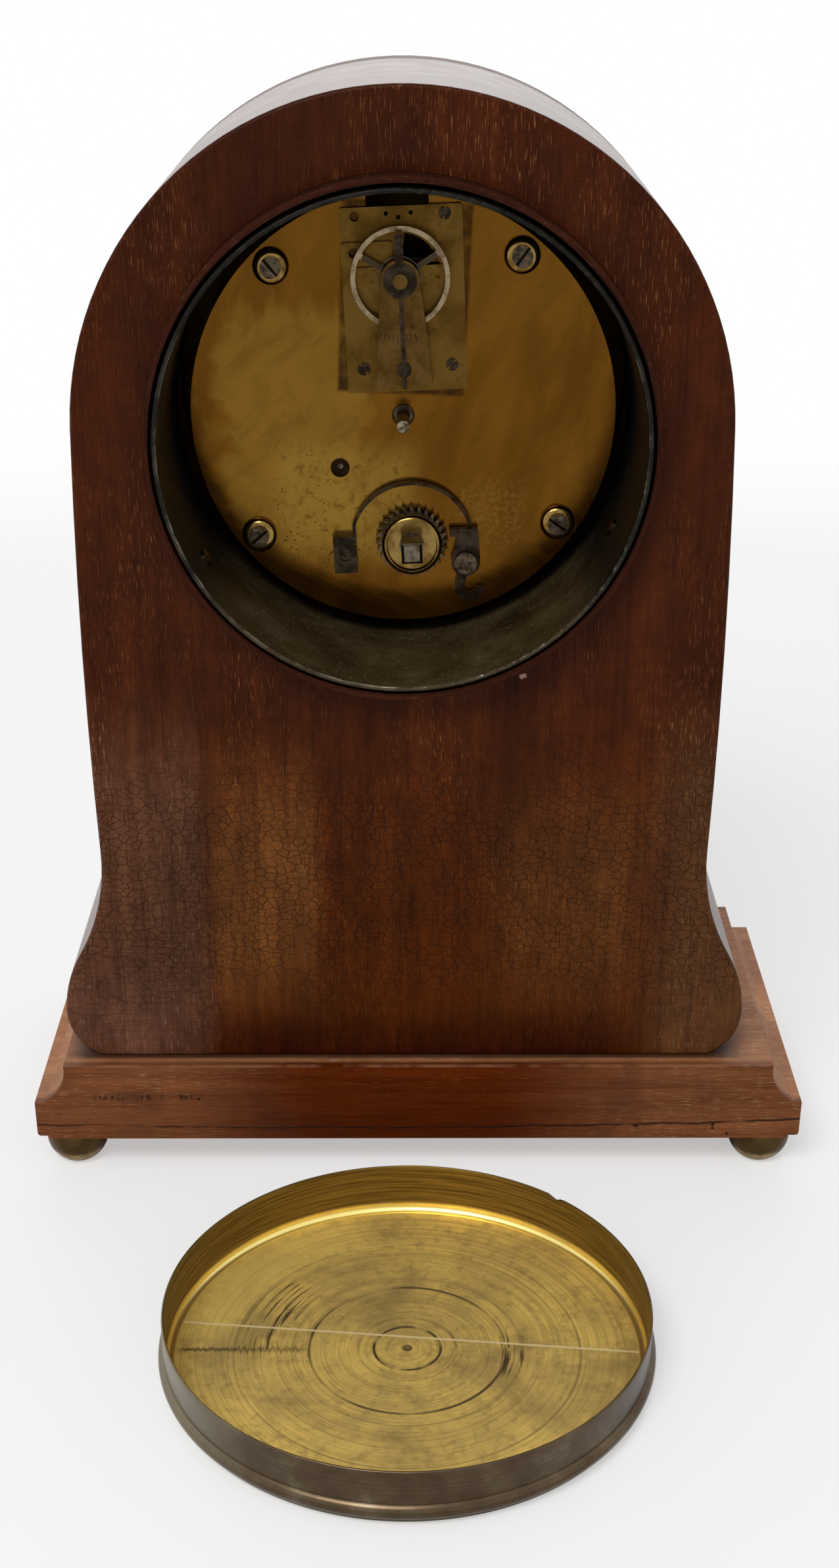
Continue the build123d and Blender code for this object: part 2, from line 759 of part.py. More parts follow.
def build_train():
    """Wheels and arbors from the intermediate wheel to the fourth wheel."""
    meshes = train()
    front = front_plate_rear + plate_shake
    rear = plate_front - plate_shake

    leaves = driven_pinion(meshes["barrel"], barrel_floor_depth, barrel_ring_thickness, intermediate_place)
    nodes["intermediate_arbor"] = movement * (plate_arbor(intermediate_place, front, rear) + leaves)
    nodes["intermediate_wheel"] = movement * driving_wheel(meshes["intermediate"], arbor_radius,
                                                           intermediate_wheel_depth, intermediate_place)

    pipe_radius = setting_hole_radius - running_clearance
    leaves = driven_pinion(meshes["intermediate"], intermediate_wheel_depth, wheel_thickness, centre_place)
    pipe = post(pipe_radius, front_plate_front, -setting_recess) + leaves
    pipe -= post(setting_arbor_radius + running_clearance, front_plate_front - overrun, overrun)
    nodes["centre_pinion"] = movement * pipe
    nodes["centre_wheel"] = movement * driving_wheel(meshes["centre"], pipe_radius, centre_wheel_depth,
                                                     centre_place)

    leaves = driven_pinion(meshes["centre"], centre_wheel_depth, wheel_thickness, third_place)
    nodes["third_arbor"] = movement * (plate_arbor(third_place, front, rear) + leaves)
    nodes["third_wheel"] = movement * driving_wheel(meshes["third"], arbor_radius, third_wheel_depth,
                                                    third_place)

    leaves = driven_pinion(meshes["third"], third_wheel_depth, wheel_thickness, fourth_place)
    nodes["fourth_arbor"] = movement * (plate_arbor(fourth_place, front, rear) + leaves)
    nodes["fourth_wheel"] = movement * driving_wheel(meshes["fourth"], arbor_radius, fourth_wheel_depth,
                                                     fourth_place)


def build_barrel():
    """Toothed mainspring barrel with its cover, spring and winding arbor."""
    mesh = train()["barrel"]
    base = Pos(*barrel_place)
    ring_low = -barrel_floor_depth - barrel_ring_thickness
    drum_front = -barrel_floor_depth - barrel_height
    bore = barrel_arbor_radius + running_clearance
    teeth = toothed_face(mesh["teeth"], mesh["big"], wheel_addendum_share * mesh["module"],
                         wheel_dedendum_share * mesh["module"], wheel_tooth_shares, 0)
    drum = slab(teeth - Circle(bore), ring_low, -barrel_floor_depth)
    inner = barrel_drum_radius - barrel_wall
    drum += tube(barrel_drum_radius, inner, drum_front, ring_low)
    nodes["barrel"] = movement * (base * drum)

    lid_bore = barrel_front_pivot_radius + running_clearance
    lid = tube(inner, lid_bore, drum_front, drum_front + barrel_cover_thickness)
    nodes["barrel_cover"] = movement * (base * lid)

    spring_low = drum_front + barrel_cover_thickness + parting_gap
    spring_high = ring_low - parting_gap
    step = mainspring_thickness + mainspring_gap
    face, outer_arcs, inner_arcs = spiral_face(mainspring_inner_radius, step, mainspring_turns,
                                               mainspring_thickness)
    print_spiral_gap("mainspring", outer_arcs, inner_arcs)
    spring = slab(face, spring_low, spring_high)
    outer = mainspring_inner_radius + mainspring_turns * step
    tongue = Pos((outer + inner) / 2, 0) * Rectangle(inner - outer, mainspring_thickness)
    spring += slab(tongue, spring_low, spring_high) & post(inner, spring_low, spring_high)
    nodes["mainspring"] = movement * (base * spring)

    core_low = drum_front + barrel_cover_thickness + plate_shake
    core_high = ring_low - plate_shake
    arbor = post(barrel_core_radius, core_low, core_high)
    collar_floor = ratchet_rise + ratchet_thickness + ratchet_collar_height - ratchet_collar_recess
    arbor += post(barrel_arbor_radius, core_high, collar_floor)
    arbor += post(barrel_front_pivot_radius, front_plate_front, core_low)
    square = Pos(0, 0, ratchet_rise + ratchet_thickness) * Box(
        winding_square, winding_square, winding_square_reach - ratchet_rise - ratchet_thickness, align=BASE)
    arbor += chamfer(square.faces().sort_by(Axis.Z)[-1].edges(), slot_width)
    nodes["barrel_arbor"] = movement * (base * arbor)


def print_spiral_gap(name, outer, inner):
    """Print the least gap between neighbouring turns of a spiral, measured on points of its arcs."""
    places = [number / gap_samples for number in range(gap_samples + 1)]
    gaps = [(low @ place - high @ place).length for low, high in zip(outer, inner[2:]) for place in places]
    print(name, "least gap between turns", round(min(gaps), 3), "mm")


def build_winding():
    """Ratchet wheel and collar on the winding arbor, with the click, its spring and their fixings."""
    base = Pos(*barrel_place)
    teeth = saw_face(ratchet_teeth, ratchet_radius, ratchet_tooth_depth, 1) - Circle(barrel_arbor_radius)
    top = ratchet_rise + ratchet_thickness
    nodes["ratchet_wheel"] = movement * (base * slab(teeth, ratchet_rise, top))

    collar_top = top + ratchet_collar_height
    floor = collar_top - ratchet_collar_recess
    shoulder = collar_top - ratchet_collar_round
    crown_radius = ratchet_collar_radius - ratchet_collar_round
    collar = turned(
        Line((barrel_arbor_radius, top), (ratchet_collar_radius, top)),
        Line((ratchet_collar_radius, top), (ratchet_collar_radius, shoulder)),
        RadiusArc((ratchet_collar_radius, shoulder), (crown_radius, collar_top), -ratchet_collar_round),
        Line((crown_radius, collar_top), (ratchet_collar_rim_radius, floor)),
        Line((ratchet_collar_rim_radius, floor), (barrel_arbor_radius, floor)),
        Line((barrel_arbor_radius, floor), (barrel_arbor_radius, top)))
    corners = slab(Rectangle(winding_square, winding_square), top, collar_top)
    nodes["ratchet_collar"] = movement * (base * (collar - corners))

    pivot = (click_u, click_v)
    beak_u = train_line + ratchet_radius + click_beak_gap
    beak_foot = click_beak_v - click_beak_height
    head = Polyline((beak_u, click_beak_v), (click_back_u, click_beak_v),
                    (click_u + click_boss_radius, click_v), (click_u - click_boss_radius, click_v),
                    (click_u - click_boss_radius / 2, beak_foot), (beak_u, beak_foot), close=True)
    bend = (click_u + click_tail_bend[0], click_v + click_tail_bend[1])
    tail_foot = (click_u + click_tail_foot[0], click_v + click_tail_foot[1])
    tail_end = (click_u + click_tail_end[0], click_v + click_tail_end[1])
    tail = Curve() + [Line(pivot, bend), ThreePointArc(bend, tail_foot, tail_end)]
    face = make_face(head) + Pos(*pivot) * Circle(click_boss_radius) + trace(tail, click_tail_width)
    face -= Pos(*pivot) * Circle(click_screw_radius + running_clearance)
    nodes["click"] = movement * slab(face, click_rise, click_rise + click_thickness)
    shoulder = click_rise + click_thickness + running_clearance
    click_screw = slotted_screw(click_screw_head_radius, click_screw_head_height, click_screw_radius,
                                shoulder + back_plate_thickness, shoulder, pivot)
    nodes["plate_screws"] = movement * group(pillar_screws() + [click_screw])

    arc_centre = (train_line, barrel_v - spring_centre_drop)
    end_v = click_beak_v + spring_end_gap
    end_angle = math.degrees(math.asin((end_v - arc_centre[1]) / spring_radius))
    block_right = block_left_u + block_width
    start_u = block_right - spring_thickness / 2
    start_angle = math.degrees(math.acos((start_u - arc_centre[0]) / spring_radius))
    start = around(arc_centre, start_angle, spring_radius)
    crown = around(arc_centre, 90, spring_radius)
    strip = Curve() + [Line((start[0], block_top_v - block_width / 2), start),
                       ThreePointArc(start, crown, around(arc_centre, end_angle, spring_radius))]
    spring = slab(trace(strip, spring_thickness), click_rise, click_rise + spring_width)
    block_face = Pos(block_left_u + block_width / 2, block_top_v - block_height / 2)
    block = slab(block_face * Rectangle(block_width, block_height), 0, block_thickness) - spring
    hole = (block_left_u + block_width / 2, block_top_v - block_height / 2)
    stem = post(pivot_radius, -back_plate_thickness, 0, hole)
    sink = post(block_screw_radius, block_thickness - slot_depth, block_thickness + overrun, hole)
    nodes["click_spring"] = movement * spring
    nodes["spring_block"] = movement * (block - sink + stem)


def pillar_screws():
    """Slotted screws through the collets and the back plate into the pillars."""
    length = collet_height + back_plate_thickness + pillar_screw_bite
    return [slotted_screw(pillar_screw_head_radius, pillar_screw_head_height, pillar_screw_radius, length,
                          collet_height, place) for place in pillar_places]


def build_plates():
    """Movement plates, pillars, collets and the posts that carry the movement."""
    back = post(plate_radius, plate_front, 0)
    slot_height = plate_radius - plate_slot_bottom + overrun
    slot = Pos(train_line, plate_slot_bottom + slot_height / 2) * Rectangle(plate_slot_width, slot_height)
    back -= slab(slot, plate_front - overrun, overrun)
    back -= post(setting_hole_radius, plate_front - overrun, overrun)
    back -= post(barrel_arbor_radius + running_clearance, plate_front - overrun, overrun, barrel_place)
    back -= post(pivot_radius + running_clearance, plate_front - overrun, overrun, intermediate_place)
    back -= post(oil_sink_radius, -oil_sink_depth, overrun, intermediate_place)
    for place in (third_place, fourth_place):
        blind = plate_front + pivot_length - plate_shake + fixing_clearance
        back -= post(pivot_radius + running_clearance, plate_front - overrun, blind, place)
    for place in pillar_places:
        back -= post(pillar_screw_radius + fixing_clearance, plate_front - overrun, overrun, place)
    back -= post(click_screw_radius + fixing_clearance, plate_front - overrun, overrun, (click_u, click_v))
    block_hole = (block_left_u + block_width / 2, block_top_v - block_height / 2)
    back -= post(pivot_radius + fixing_clearance, plate_front - overrun, overrun, block_hole)
    for place in platform_screw_points():
        back -= post(platform_screw_radius + fixing_clearance, plate_front - overrun, overrun, place)
    for place in lower_screw_points():
        hole = bridge_screw_radius + fixing_clearance
        back -= post(hole, plate_front - overrun, -platform_thickness, place)
    nodes["back_plate"] = movement * back

    front = post(plate_radius, front_plate_front, front_plate_rear)
    front -= post(setting_hole_radius, front_plate_front - overrun, front_plate_rear + overrun)
    hole = barrel_front_pivot_radius + running_clearance
    front -= post(hole, front_plate_front - overrun, front_plate_rear + overrun, barrel_place)
    for place in (intermediate_place, third_place, fourth_place):
        hole = pivot_radius + running_clearance
        front -= post(hole, front_plate_front - overrun, front_plate_rear + overrun, place)
    stud_end = front_plate_front - motion_rise - 3 * motion_wheel_thickness - motion_step
    front += post(minute_stud_radius, stud_end, front_plate_front, minute_place)
    nodes["front_plate"] = movement * front

    pillars, collets = [], []
    collet_bore = pillar_screw_radius + fixing_clearance
    rounding = (collet_radius, collet_height - collet_round)
    crown = (collet_radius - collet_round, collet_height)
    dome = turned(
        Line((collet_bore, 0), (collet_radius, 0)),
        Line((collet_radius, 0), rounding),
        RadiusArc(rounding, crown, -collet_round),
        Line(crown, (collet_bore, collet_height)),
        Line((collet_bore, collet_height), (collet_bore, 0)))
    for place in pillar_places:
        bottom = plate_front - pillar_screw_bite - fixing_clearance
        bore = post(pillar_screw_radius + fixing_clearance, bottom, overrun, place)
        pillars.append(post(pillar_radius, front_plate_rear, plate_front, place) - bore)
        collets.append(Pos(*place) * dome)
    nodes["plate_pillars"] = movement * group(pillars)
    nodes["pillar_collets"] = movement * group(collets)

    posts = []
    for number in range(post_count):
        place = around((0, 0), (number + 0.5) * 360 / post_count, post_circle_radius)
        posts.append(post(post_radius, panel_front, front_plate_front, place))
    nodes["movement_posts"] = front_frame * group(posts)


def platform_point(place):
    """Place on the platform, given from the middle of its lower edge."""
    return (platform_u + place[0], platform_bottom_v + place[1])


def platform_screw_points():
    """Places of the platform's screws on the back plate."""
    return [platform_point(place) for place in platform_screw_places]


def lower_screw_points():
    """Places of the screws that hold the lower bridge and the escape cock inside the back plate."""
    reach = (lower_bridge_half_length + plate_slot_width / 2) / 2
    middle = (lower_bridge_bottom_v + lower_bridge_top_v) / 2
    cock = (escape_cock_left_u + escape_cock_foot_width / 2, escape_v)
    return [(train_line - reach, middle), (train_line + reach, middle), cock]


def build_platform():
    """Platform plate with its screws, bridges and cocks."""
    middle = (platform_u, platform_bottom_v + platform_height / 2)
    face = Pos(*middle) * RectangleRounded(platform_width, platform_height, platform_corner_radius)
    for place in platform_hole_places:
        face -= Pos(*platform_point(place)) * Circle(platform_hole_radius)
    for place in platform_peg_places:
        face -= Pos(*platform_point(place)) * Circle(platform_peg_radius)
    for place in platform_screw_points():
        face -= Pos(*place) * Circle(platform_screw_radius + fixing_clearance)
    for place in (escape_place, lever_place):
        face -= Pos(*place) * Circle(pivot_radius + running_clearance)
    face -= Pos(*balance_place) * Circle(roller_radius)
    face -= Pos(train_line, cock_screw_v) * Circle(cock_screw_radius + fixing_clearance)
    spread = [platform_window_start + share * platform_window_sweep for share in (0, 0.5, 1)]
    far_side = [around((0, 0), angle, platform_window_outer_radius) for angle in spread]
    near_side = [around((0, 0), angle, platform_window_inner_radius) for angle in spread]
    opening = make_face(Curve() + [ThreePointArc(*far_side), Line(far_side[2], near_side[2]),
                                   ThreePointArc(*near_side), Line(near_side[0], far_side[0])])
    face -= Pos(*balance_place) * opening
    nodes["platform_plate"] = movement * slab(face, 0, platform_thickness)

    bite = platform_thickness + back_plate_thickness
    screws = []
    for place in platform_screw_points():
        screws.append(slotted_screw(platform_screw_head_radius, platform_screw_head_height,
                                    platform_screw_radius, bite, platform_thickness, place))
    screws.append(slotted_screw(cock_screw_head_radius, cock_screw_head_height, cock_screw_radius,
                                cock_foot_top, cock_foot_top, (train_line, cock_screw_v)))

    bar = Pos(*balance_place) * RectangleRounded(bridge_length, bridge_width, platform_corner_radius)
    bar -= Pos(*balance_place) * Circle(roller_radius)
    bar -= Pos(train_line + bridge_hole_reach, balance_v) * Circle(bridge_hole_radius)
    upper_left = platform_u - platform_width / 2
    upper = Pos(upper_left + upper_bridge_width / 2, upper_bridge_bottom_v + upper_bridge_height / 2)
    upper *= RectangleRounded(upper_bridge_width, upper_bridge_height, platform_corner_radius)
    for place in platform_hole_places:
        upper -= Pos(*platform_point(place)) * Circle(platform_hole_radius)
    upper -= Pos(*balance_place) * Circle(roller_radius + bridge_width / 2)
    bridges = [slab(face, platform_thickness, platform_thickness + bridge_thickness) for face in (bar, upper)]
    nodes["pallet_bridge"] = movement * group(bridges)

    lower_height = lower_bridge_top_v - lower_bridge_bottom_v
    lower_middle = Pos(train_line, lower_bridge_bottom_v + lower_height / 2)
    lower_length = 2 * lower_bridge_half_length
    lower = lower_middle * RectangleRounded(lower_length, lower_height, platform_corner_radius)
    lower -= Pos(*balance_place) * Circle(staff_radius + running_clearance)
    lower -= Pos(*lever_place) * Circle(pivot_radius + running_clearance)
    for place in lower_screw_points()[:2]:
        lower -= Pos(*place) * Circle(bridge_screw_radius + fixing_clearance)
    lower_front = plate_front - lower_bridge_thickness
    nodes["lower_bridge"] = movement * slab(lower, lower_front, plate_front)

    cock_front = -escape_cock_depth - escape_cock_thickness
    arm_length = train_line + escape_cock_reach - escape_cock_left_u
    arm = Pos(escape_cock_left_u + arm_length / 2, escape_v) * Rectangle(arm_length, escape_cock_width)
    foot = Pos(escape_cock_left_u + escape_cock_foot_width / 2, escape_v) * Rectangle(
        escape_cock_foot_width, escape_cock_width)
    cock = slab(arm, cock_front, -escape_cock_depth) + slab(foot, -escape_cock_depth, plate_front)
    pivot_hole = pivot_radius + running_clearance
    cock -= post(pivot_hole, cock_front - overrun, overrun - escape_cock_depth, escape_place)
    cock_screw_place = lower_screw_points()[2]
    cock -= post(bridge_screw_radius + fixing_clearance, cock_front - overrun, overrun, cock_screw_place)
    nodes["escape_cock"] = movement * cock

    for place, seat in zip(lower_screw_points(), (lower_front, lower_front, cock_front)):
        head = post(bridge_screw_head_radius, seat - bridge_screw_head_height, seat, place)
        shank = post(bridge_screw_radius, seat, -platform_thickness - fixing_clearance, place)
        screws.append(head + shank)
    nodes["platform_screws"] = movement * group(screws)


def build_escapement():
    """Escape wheel, lever, balance, hairspring, cock and index."""
    mesh = train()["fourth"]
    wheel_low = -escapement_depth - escapement_thickness
    escape = slab(saw_face(escape_teeth, escape_radius, escape_tooth_depth, -1), wheel_low, -escapement_depth)
    escape += post(escape_arbor_radius, plate_shake - escape_cock_depth, -escapement_depth)
    escape += post(pivot_radius, -escape_cock_depth - escape_cock_thickness, platform_thickness)
    leaves = driven_pinion(mesh, fourth_wheel_depth, wheel_thickness, escape_place)
    nodes["escape_wheel"] = movement * (Pos(*escape_place) * escape + leaves)

    pallets = [around(escape_place, 90 + side * pallet_angle, escape_radius + pallet_gap) for side in (-1, 1)]
    fork_end = balance_v - roller_radius - roller_gap
    shape = Pos(*lever_place) * Circle(lever_hub_radius)
    for place in pallets:
        shape += trace(Line(lever_place, place), lever_arm_width)
    middle = (lever_v + fork_end) / 2
    shape += Pos(train_line, middle) * Rectangle(fork_width, fork_end - lever_v)
    shape -= Pos(train_line, fork_end) * Rectangle(fork_notch_width, 2 * fork_notch_depth)
    lever = slab(shape, wheel_low, -escapement_depth)
    nodes["lever"] = movement * (lever + post(pivot_radius, plate_front - lower_bridge_thickness,
                                              platform_thickness, lever_place))

    rim_top = balance_rise + balance_rim_height
    inner = balance_radius - balance_rim_width
    balance = tube(balance_radius, inner, balance_rise, rim_top)
    arm_inset = (balance_rim_height - bridge_thickness / 2) / 2
    for number in range(balance_arms):
        arm = Pos(inner / 2, 0) * Rectangle(inner + balance_rim_width / 2, balance_arm_width)
        angle = 90 + (number + 0.5) * 360 / balance_arms
        balance += Rot(0, 0, angle) * slab(arm, balance_rise + arm_inset, rim_top - arm_inset)
    balance += post(balance_hub_radius, balance_rise, rim_top)
    roller_low = -escapement_depth - escapement_thickness
    roller = roller_radius - parting_gap
    balance += post(roller, roller_low, -escapement_depth)
    staff_top = (cock_underside + cock_top) / 2
    balance += post(staff_radius, plate_front - lower_bridge_thickness, staff_top)
    nodes["balance_wheel"] = movement * (Pos(*balance_place) * balance)

    step = hairspring_thickness + hairspring_gap
    face, outer_arcs, inner_arcs = spiral_face(hairspring_inner_radius, step, hairspring_turns,
                                               hairspring_thickness)
    print_spiral_gap("hairspring", outer_arcs, inner_arcs)
    outer = hairspring_inner_radius + hairspring_turns * step
    turn_down = Rot(0, 0, -90)
    coil = slab(face, hairspring_rise, hairspring_rise + hairspring_width)
    stud = Pos(outer, 0, hairspring_rise) * Box(stud_length, stud_length, cock_underside - hairspring_rise,
                                                align=BASE)
    stud -= slab(face, hairspring_rise, hairspring_rise + hairspring_width)
    nodes["hairspring"] = movement * (Pos(*balance_place) * turn_down * coil)

    build_cock(Pos(*balance_place) * turn_down * stud)


def trapezium(low_half_width, low_v, high_half_width, high_v):
    """Four-sided outline with level ends, centred on the train's line."""
    corners = [(-low_half_width, low_v), (low_half_width, low_v), (high_half_width, high_v),
               (-high_half_width, high_v)]
    return Pos(train_line, 0) * make_face(Polyline(*corners, close=True))


def build_cock(stud):
    """Balance cock with the hairspring's stud, its screw and the regulator index."""
    foot_corners = trapezium(cock_foot_half_width, cock_foot_bottom_v, cock_waist_half_width, cock_step_v)
    bar_corners = trapezium(cock_waist_half_width, cock_step_v, cock_neck_half_width, balance_v)
    head = Pos(*balance_place) * Circle(cock_head_radius)
    cock = slab(foot_corners, platform_thickness, cock_foot_top)
    cock += slab(bar_corners + head, cock_underside, cock_top) + stud
    cock += post(cock_boss_radius, cock_top, cock_top + cock_boss_height, balance_place)
    staff_hole = (cock_underside + cock_top) / 2 + running_clearance
    cock -= post(staff_radius + running_clearance, cock_underside - overrun, staff_hole, balance_place)
    screw_place = (train_line, cock_screw_v)
    cock -= post(cock_screw_radius + fixing_clearance, -overrun, cock_foot_top + overrun, screw_place)
    nodes["balance_cock"] = movement * cock

    ring = Pos(*balance_place) * (Circle(index_radius) - Circle(cock_boss_radius + running_clearance))
    pointer_foot = index_radius - index_thickness
    pointer = Pos(train_line, balance_v - (pointer_foot + index_pointer_length) / 2) * Rectangle(
        index_pointer_width, index_pointer_length - pointer_foot)
    tail = Pos(train_line, balance_v + (pointer_foot + index_tail_length) / 2) * Rectangle(
        index_tail_width, index_tail_length - pointer_foot)
    low = cock_top + running_clearance
    nodes["regulator_index"] = movement * slab(ring + pointer + tail, low, low + index_thickness)


def build_motion_work():
    """Setting arbor with its cannon pinion, minute wheel and hour wheel."""
    cannon_big, cannon_small, cannon_module = wheel_pair(centre_place, minute_place, minute_teeth,
                                                         cannon_leaves)
    hour_big, minute_small, hour_module = wheel_pair(centre_place, minute_place, hour_teeth, minute_leaves)
    direction = bearing(centre_place, minute_place)
    rear = front_plate_front - motion_rise
    wheel_front = rear - motion_wheel_thickness
    hour_rear = wheel_front - motion_step
    hour_front = hour_rear - motion_wheel_thickness
    pinion_front = hour_front - pinion_overhang
    hand_rear = panel_front - seat_ring_thickness - dial_thickness

    minute_phase = meshed_phase(direction, cannon_leaves, 0, minute_teeth)
    stud_bore = minute_stud_radius + running_clearance
    minute = wheel(minute_teeth, cannon_big, cannon_module, stud_bore, wheel_front, motion_wheel_thickness,
                   minute_place, minute_phase)
    leaves = pinion(minute_leaves, minute_small, hour_module, pinion_front, wheel_front, minute_place, 0)
    bore = post(stud_bore, pinion_front - overrun, rear + overrun, minute_place)
    nodes["minute_wheel"] = movement * (minute + leaves - bore)

    hour_phase = meshed_phase(direction + 180, minute_leaves, 0, hour_teeth)
    pipe_inner = cannon_radius + running_clearance
    pipe_outer = pipe_inner + hour_pipe_wall
    hour = wheel(hour_teeth, hour_big, hour_module, pipe_inner, hour_front, motion_wheel_thickness,
                 centre_place, hour_phase)
    hour_hand_front = hand_rear - hour_hand_rise - hand_thickness
    nodes["hour_wheel"] = movement * (hour + tube(pipe_outer, pipe_inner, hour_hand_front, hour_rear))

    minute_hand_front = hand_rear - minute_hand_rise - hand_thickness
    cannon_end = minute_hand_front + hand_thickness
    arbor = pinion(cannon_leaves, cannon_small, cannon_module, wheel_front - pinion_overhang,
                   front_plate_front - running_clearance, centre_place, 0)
    arbor += post(cannon_radius, cannon_end, front_plate_front - running_clearance)
    arbor += post(hand_seat_radius, minute_hand_front - nut_height, cannon_end)
    arbor += post(setting_arbor_radius, wheel_front, running_clearance)
    arbor += post(setting_tip_radius, running_clearance - setting_recess, setting_tip_reach)
    nodes["hand_arbor"] = movement * arbor
    nodes["hand_nut"] = movement * tube(nut_radius, hand_seat_radius, minute_hand_front - nut_height,
                                        minute_hand_front)

    for name, length, bore, angle, front in (
            ("hour_hand", hour_hand_length, pipe_outer, hour_hand_angle, hour_hand_front),
            ("minute_hand", minute_hand_length, hand_seat_radius, minute_hand_angle, minute_hand_front)):
        blade = Polyline((-hand_width / 2, -hand_tail_length), (hand_width / 2, -hand_tail_length),
                         (hand_width / 2, 0), (hand_tip_width / 2, length), (-hand_tip_width / 2, length),
                         (-hand_width / 2, 0), close=True)
        face = make_face(blade) + Circle(hand_eye_radius) - Circle(bore)
        nodes[name] = front_frame * Rot(0, 0, angle) * slab(face, front, front + hand_thickness)


def seat_screw_angles():
    """Directions of the seat ring's screws."""
    return [number * 360 / post_count for number in range(post_count)]


def build_front():
    """Seat ring, dial, bezel and glass."""
    ring_front = panel_front - seat_ring_thickness
    ring = tube(seat_ring_radius, seat_ring_inner_radius, ring_front, panel_front)
    screws = []
    for angle in seat_screw_angles():
        place = around((0, 0), angle, seat_screw_circle_radius)
        ring -= post(seat_screw_radius, ring_front - overrun, panel_front + overrun, place)
        head = post(seat_screw_head_radius, ring_front - seat_screw_head_height, ring_front, place)
        screws.append(head + post(seat_screw_radius, ring_front, panel_front + seat_screw_length, place))
    nodes["seat_ring"] = front_frame * ring
    nodes["seat_ring_screws"] = front_frame * group(screws)
    nodes["dial"] = front_frame * tube(dial_radius, dial_hole_radius, ring_front - dial_thickness, ring_front)

    inner = seat_ring_radius + bezel_inner_clearance
    outer = inner + bezel_wall
    glass_radius = inner - bezel_inner_clearance
    glass_sphere = (glass_radius ** 2 + glass_sag ** 2) / (2 * glass_sag)
    glass_seat = bezel_seat_height + glass_thickness
    sight_drop = glass_sphere - math.sqrt(glass_sphere ** 2 - bezel_sight_radius ** 2)
    lip_under = glass_seat + glass_sag - sight_drop + parting_gap
    to_front = front_frame * Pos(0, 0, panel_front) * Rot(180, 0, 0)
    shoulder = (outer, bezel_flange_thickness)
    crest = ((outer + bezel_sight_radius) / 2, bezel_lip_height)
    lip = (bezel_sight_radius, lip_under + bezel_lip_thickness)
    bezel = turned(
        Line((inner, 0), (bezel_radius, 0)),
        Line((bezel_radius, 0), (bezel_radius, bezel_flange_thickness / 2)),
        RadiusArc((bezel_radius, bezel_flange_thickness / 2), shoulder, bezel_radius - outer),
        Line(shoulder, (outer, bezel_seat_height)),
        TangentArc((outer, bezel_seat_height), crest, tangent=(0, 1)),
        Line(crest, lip),
        Line(lip, (bezel_sight_radius, lip_under)),
        Line((bezel_sight_radius, lip_under), (inner, glass_seat + parting_gap)),
        Line((inner, glass_seat + parting_gap), (inner, 0)))
    nodes["bezel"] = to_front * bezel

    pane = turned(
        Line((0, bezel_seat_height + glass_sag), (0, glass_seat + glass_sag)),
        RadiusArc((0, glass_seat + glass_sag), (glass_radius, glass_seat), glass_sphere),
        Line((glass_radius, glass_seat), (glass_radius, bezel_seat_height)),
        RadiusArc((glass_radius, bezel_seat_height), (0, bezel_seat_height + glass_sag), -glass_sphere))
    nodes["glass"] = to_front * pane
    ring_low = bezel_seat_height - glass_ring_height
    nodes["glass_ring"] = to_front * tube(inner, inner - glass_ring_width, ring_low, bezel_seat_height)


def main():
    build_case()
    build_plinth()
    build_sleeve()
    build_cover()
    build_plates()
    build_barrel()
    build_train()
    build_winding()
    build_platform()
    build_escapement()
    build_motion_work()
    build_front()
    os.makedirs("parts", exist_ok=True)
    for name, solid in nodes.items():
        export_step(solid, os.path.join("parts", name + ".step"))
    print(len(nodes), "nodes")


main()
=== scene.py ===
import math

import bpy
from mathutils import Matrix, Vector


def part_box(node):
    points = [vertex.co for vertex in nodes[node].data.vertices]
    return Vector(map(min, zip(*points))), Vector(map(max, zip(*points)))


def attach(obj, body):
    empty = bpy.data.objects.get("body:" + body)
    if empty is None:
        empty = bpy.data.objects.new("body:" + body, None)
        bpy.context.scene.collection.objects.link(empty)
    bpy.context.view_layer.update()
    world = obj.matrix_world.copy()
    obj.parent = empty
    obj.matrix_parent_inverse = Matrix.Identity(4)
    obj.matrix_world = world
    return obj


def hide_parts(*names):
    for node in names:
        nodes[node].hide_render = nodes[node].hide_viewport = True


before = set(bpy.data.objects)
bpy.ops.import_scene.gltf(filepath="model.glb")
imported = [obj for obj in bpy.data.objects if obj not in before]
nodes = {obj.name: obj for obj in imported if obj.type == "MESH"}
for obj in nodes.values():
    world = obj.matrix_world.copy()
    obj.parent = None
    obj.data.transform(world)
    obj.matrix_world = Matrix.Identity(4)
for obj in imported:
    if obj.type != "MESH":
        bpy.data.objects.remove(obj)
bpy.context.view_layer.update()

MM = 0.001
PER_METRE = (1 / MM,) * 3
# Ranges of a noise, or of the wood's relief, over which a value or a tone changes
NOISE_SPAN, PATCH_SPAN, RELIEF_SPAN = (0.3, 0.7), (0.4, 0.62), (-0.3, 0.6)
# Sockets of the mix node that mix colours
MIX_FACTOR, MIX_A, MIX_B, MIX_RESULT = 0, 6, 7, 2


# Places read from the solids, in metres
def middle(node):
    """Middle of a node's box."""
    low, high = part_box(node)
    return (low + high) / 2


panel_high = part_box("case_back_panel")[1]
sleeve_low, sleeve_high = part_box("case_sleeve")
plate_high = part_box("back_plate")[1]
plinth_low, plinth_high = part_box("plinth")
cover_low, cover_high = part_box("back_cover")
dial_low, dial_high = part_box("dial")
AXIS = Vector((middle("case_sleeve").x, panel_high.y, middle("case_sleeve").z))
COVER = Vector((middle("back_cover").x, middle("back_cover").y, 0.0))


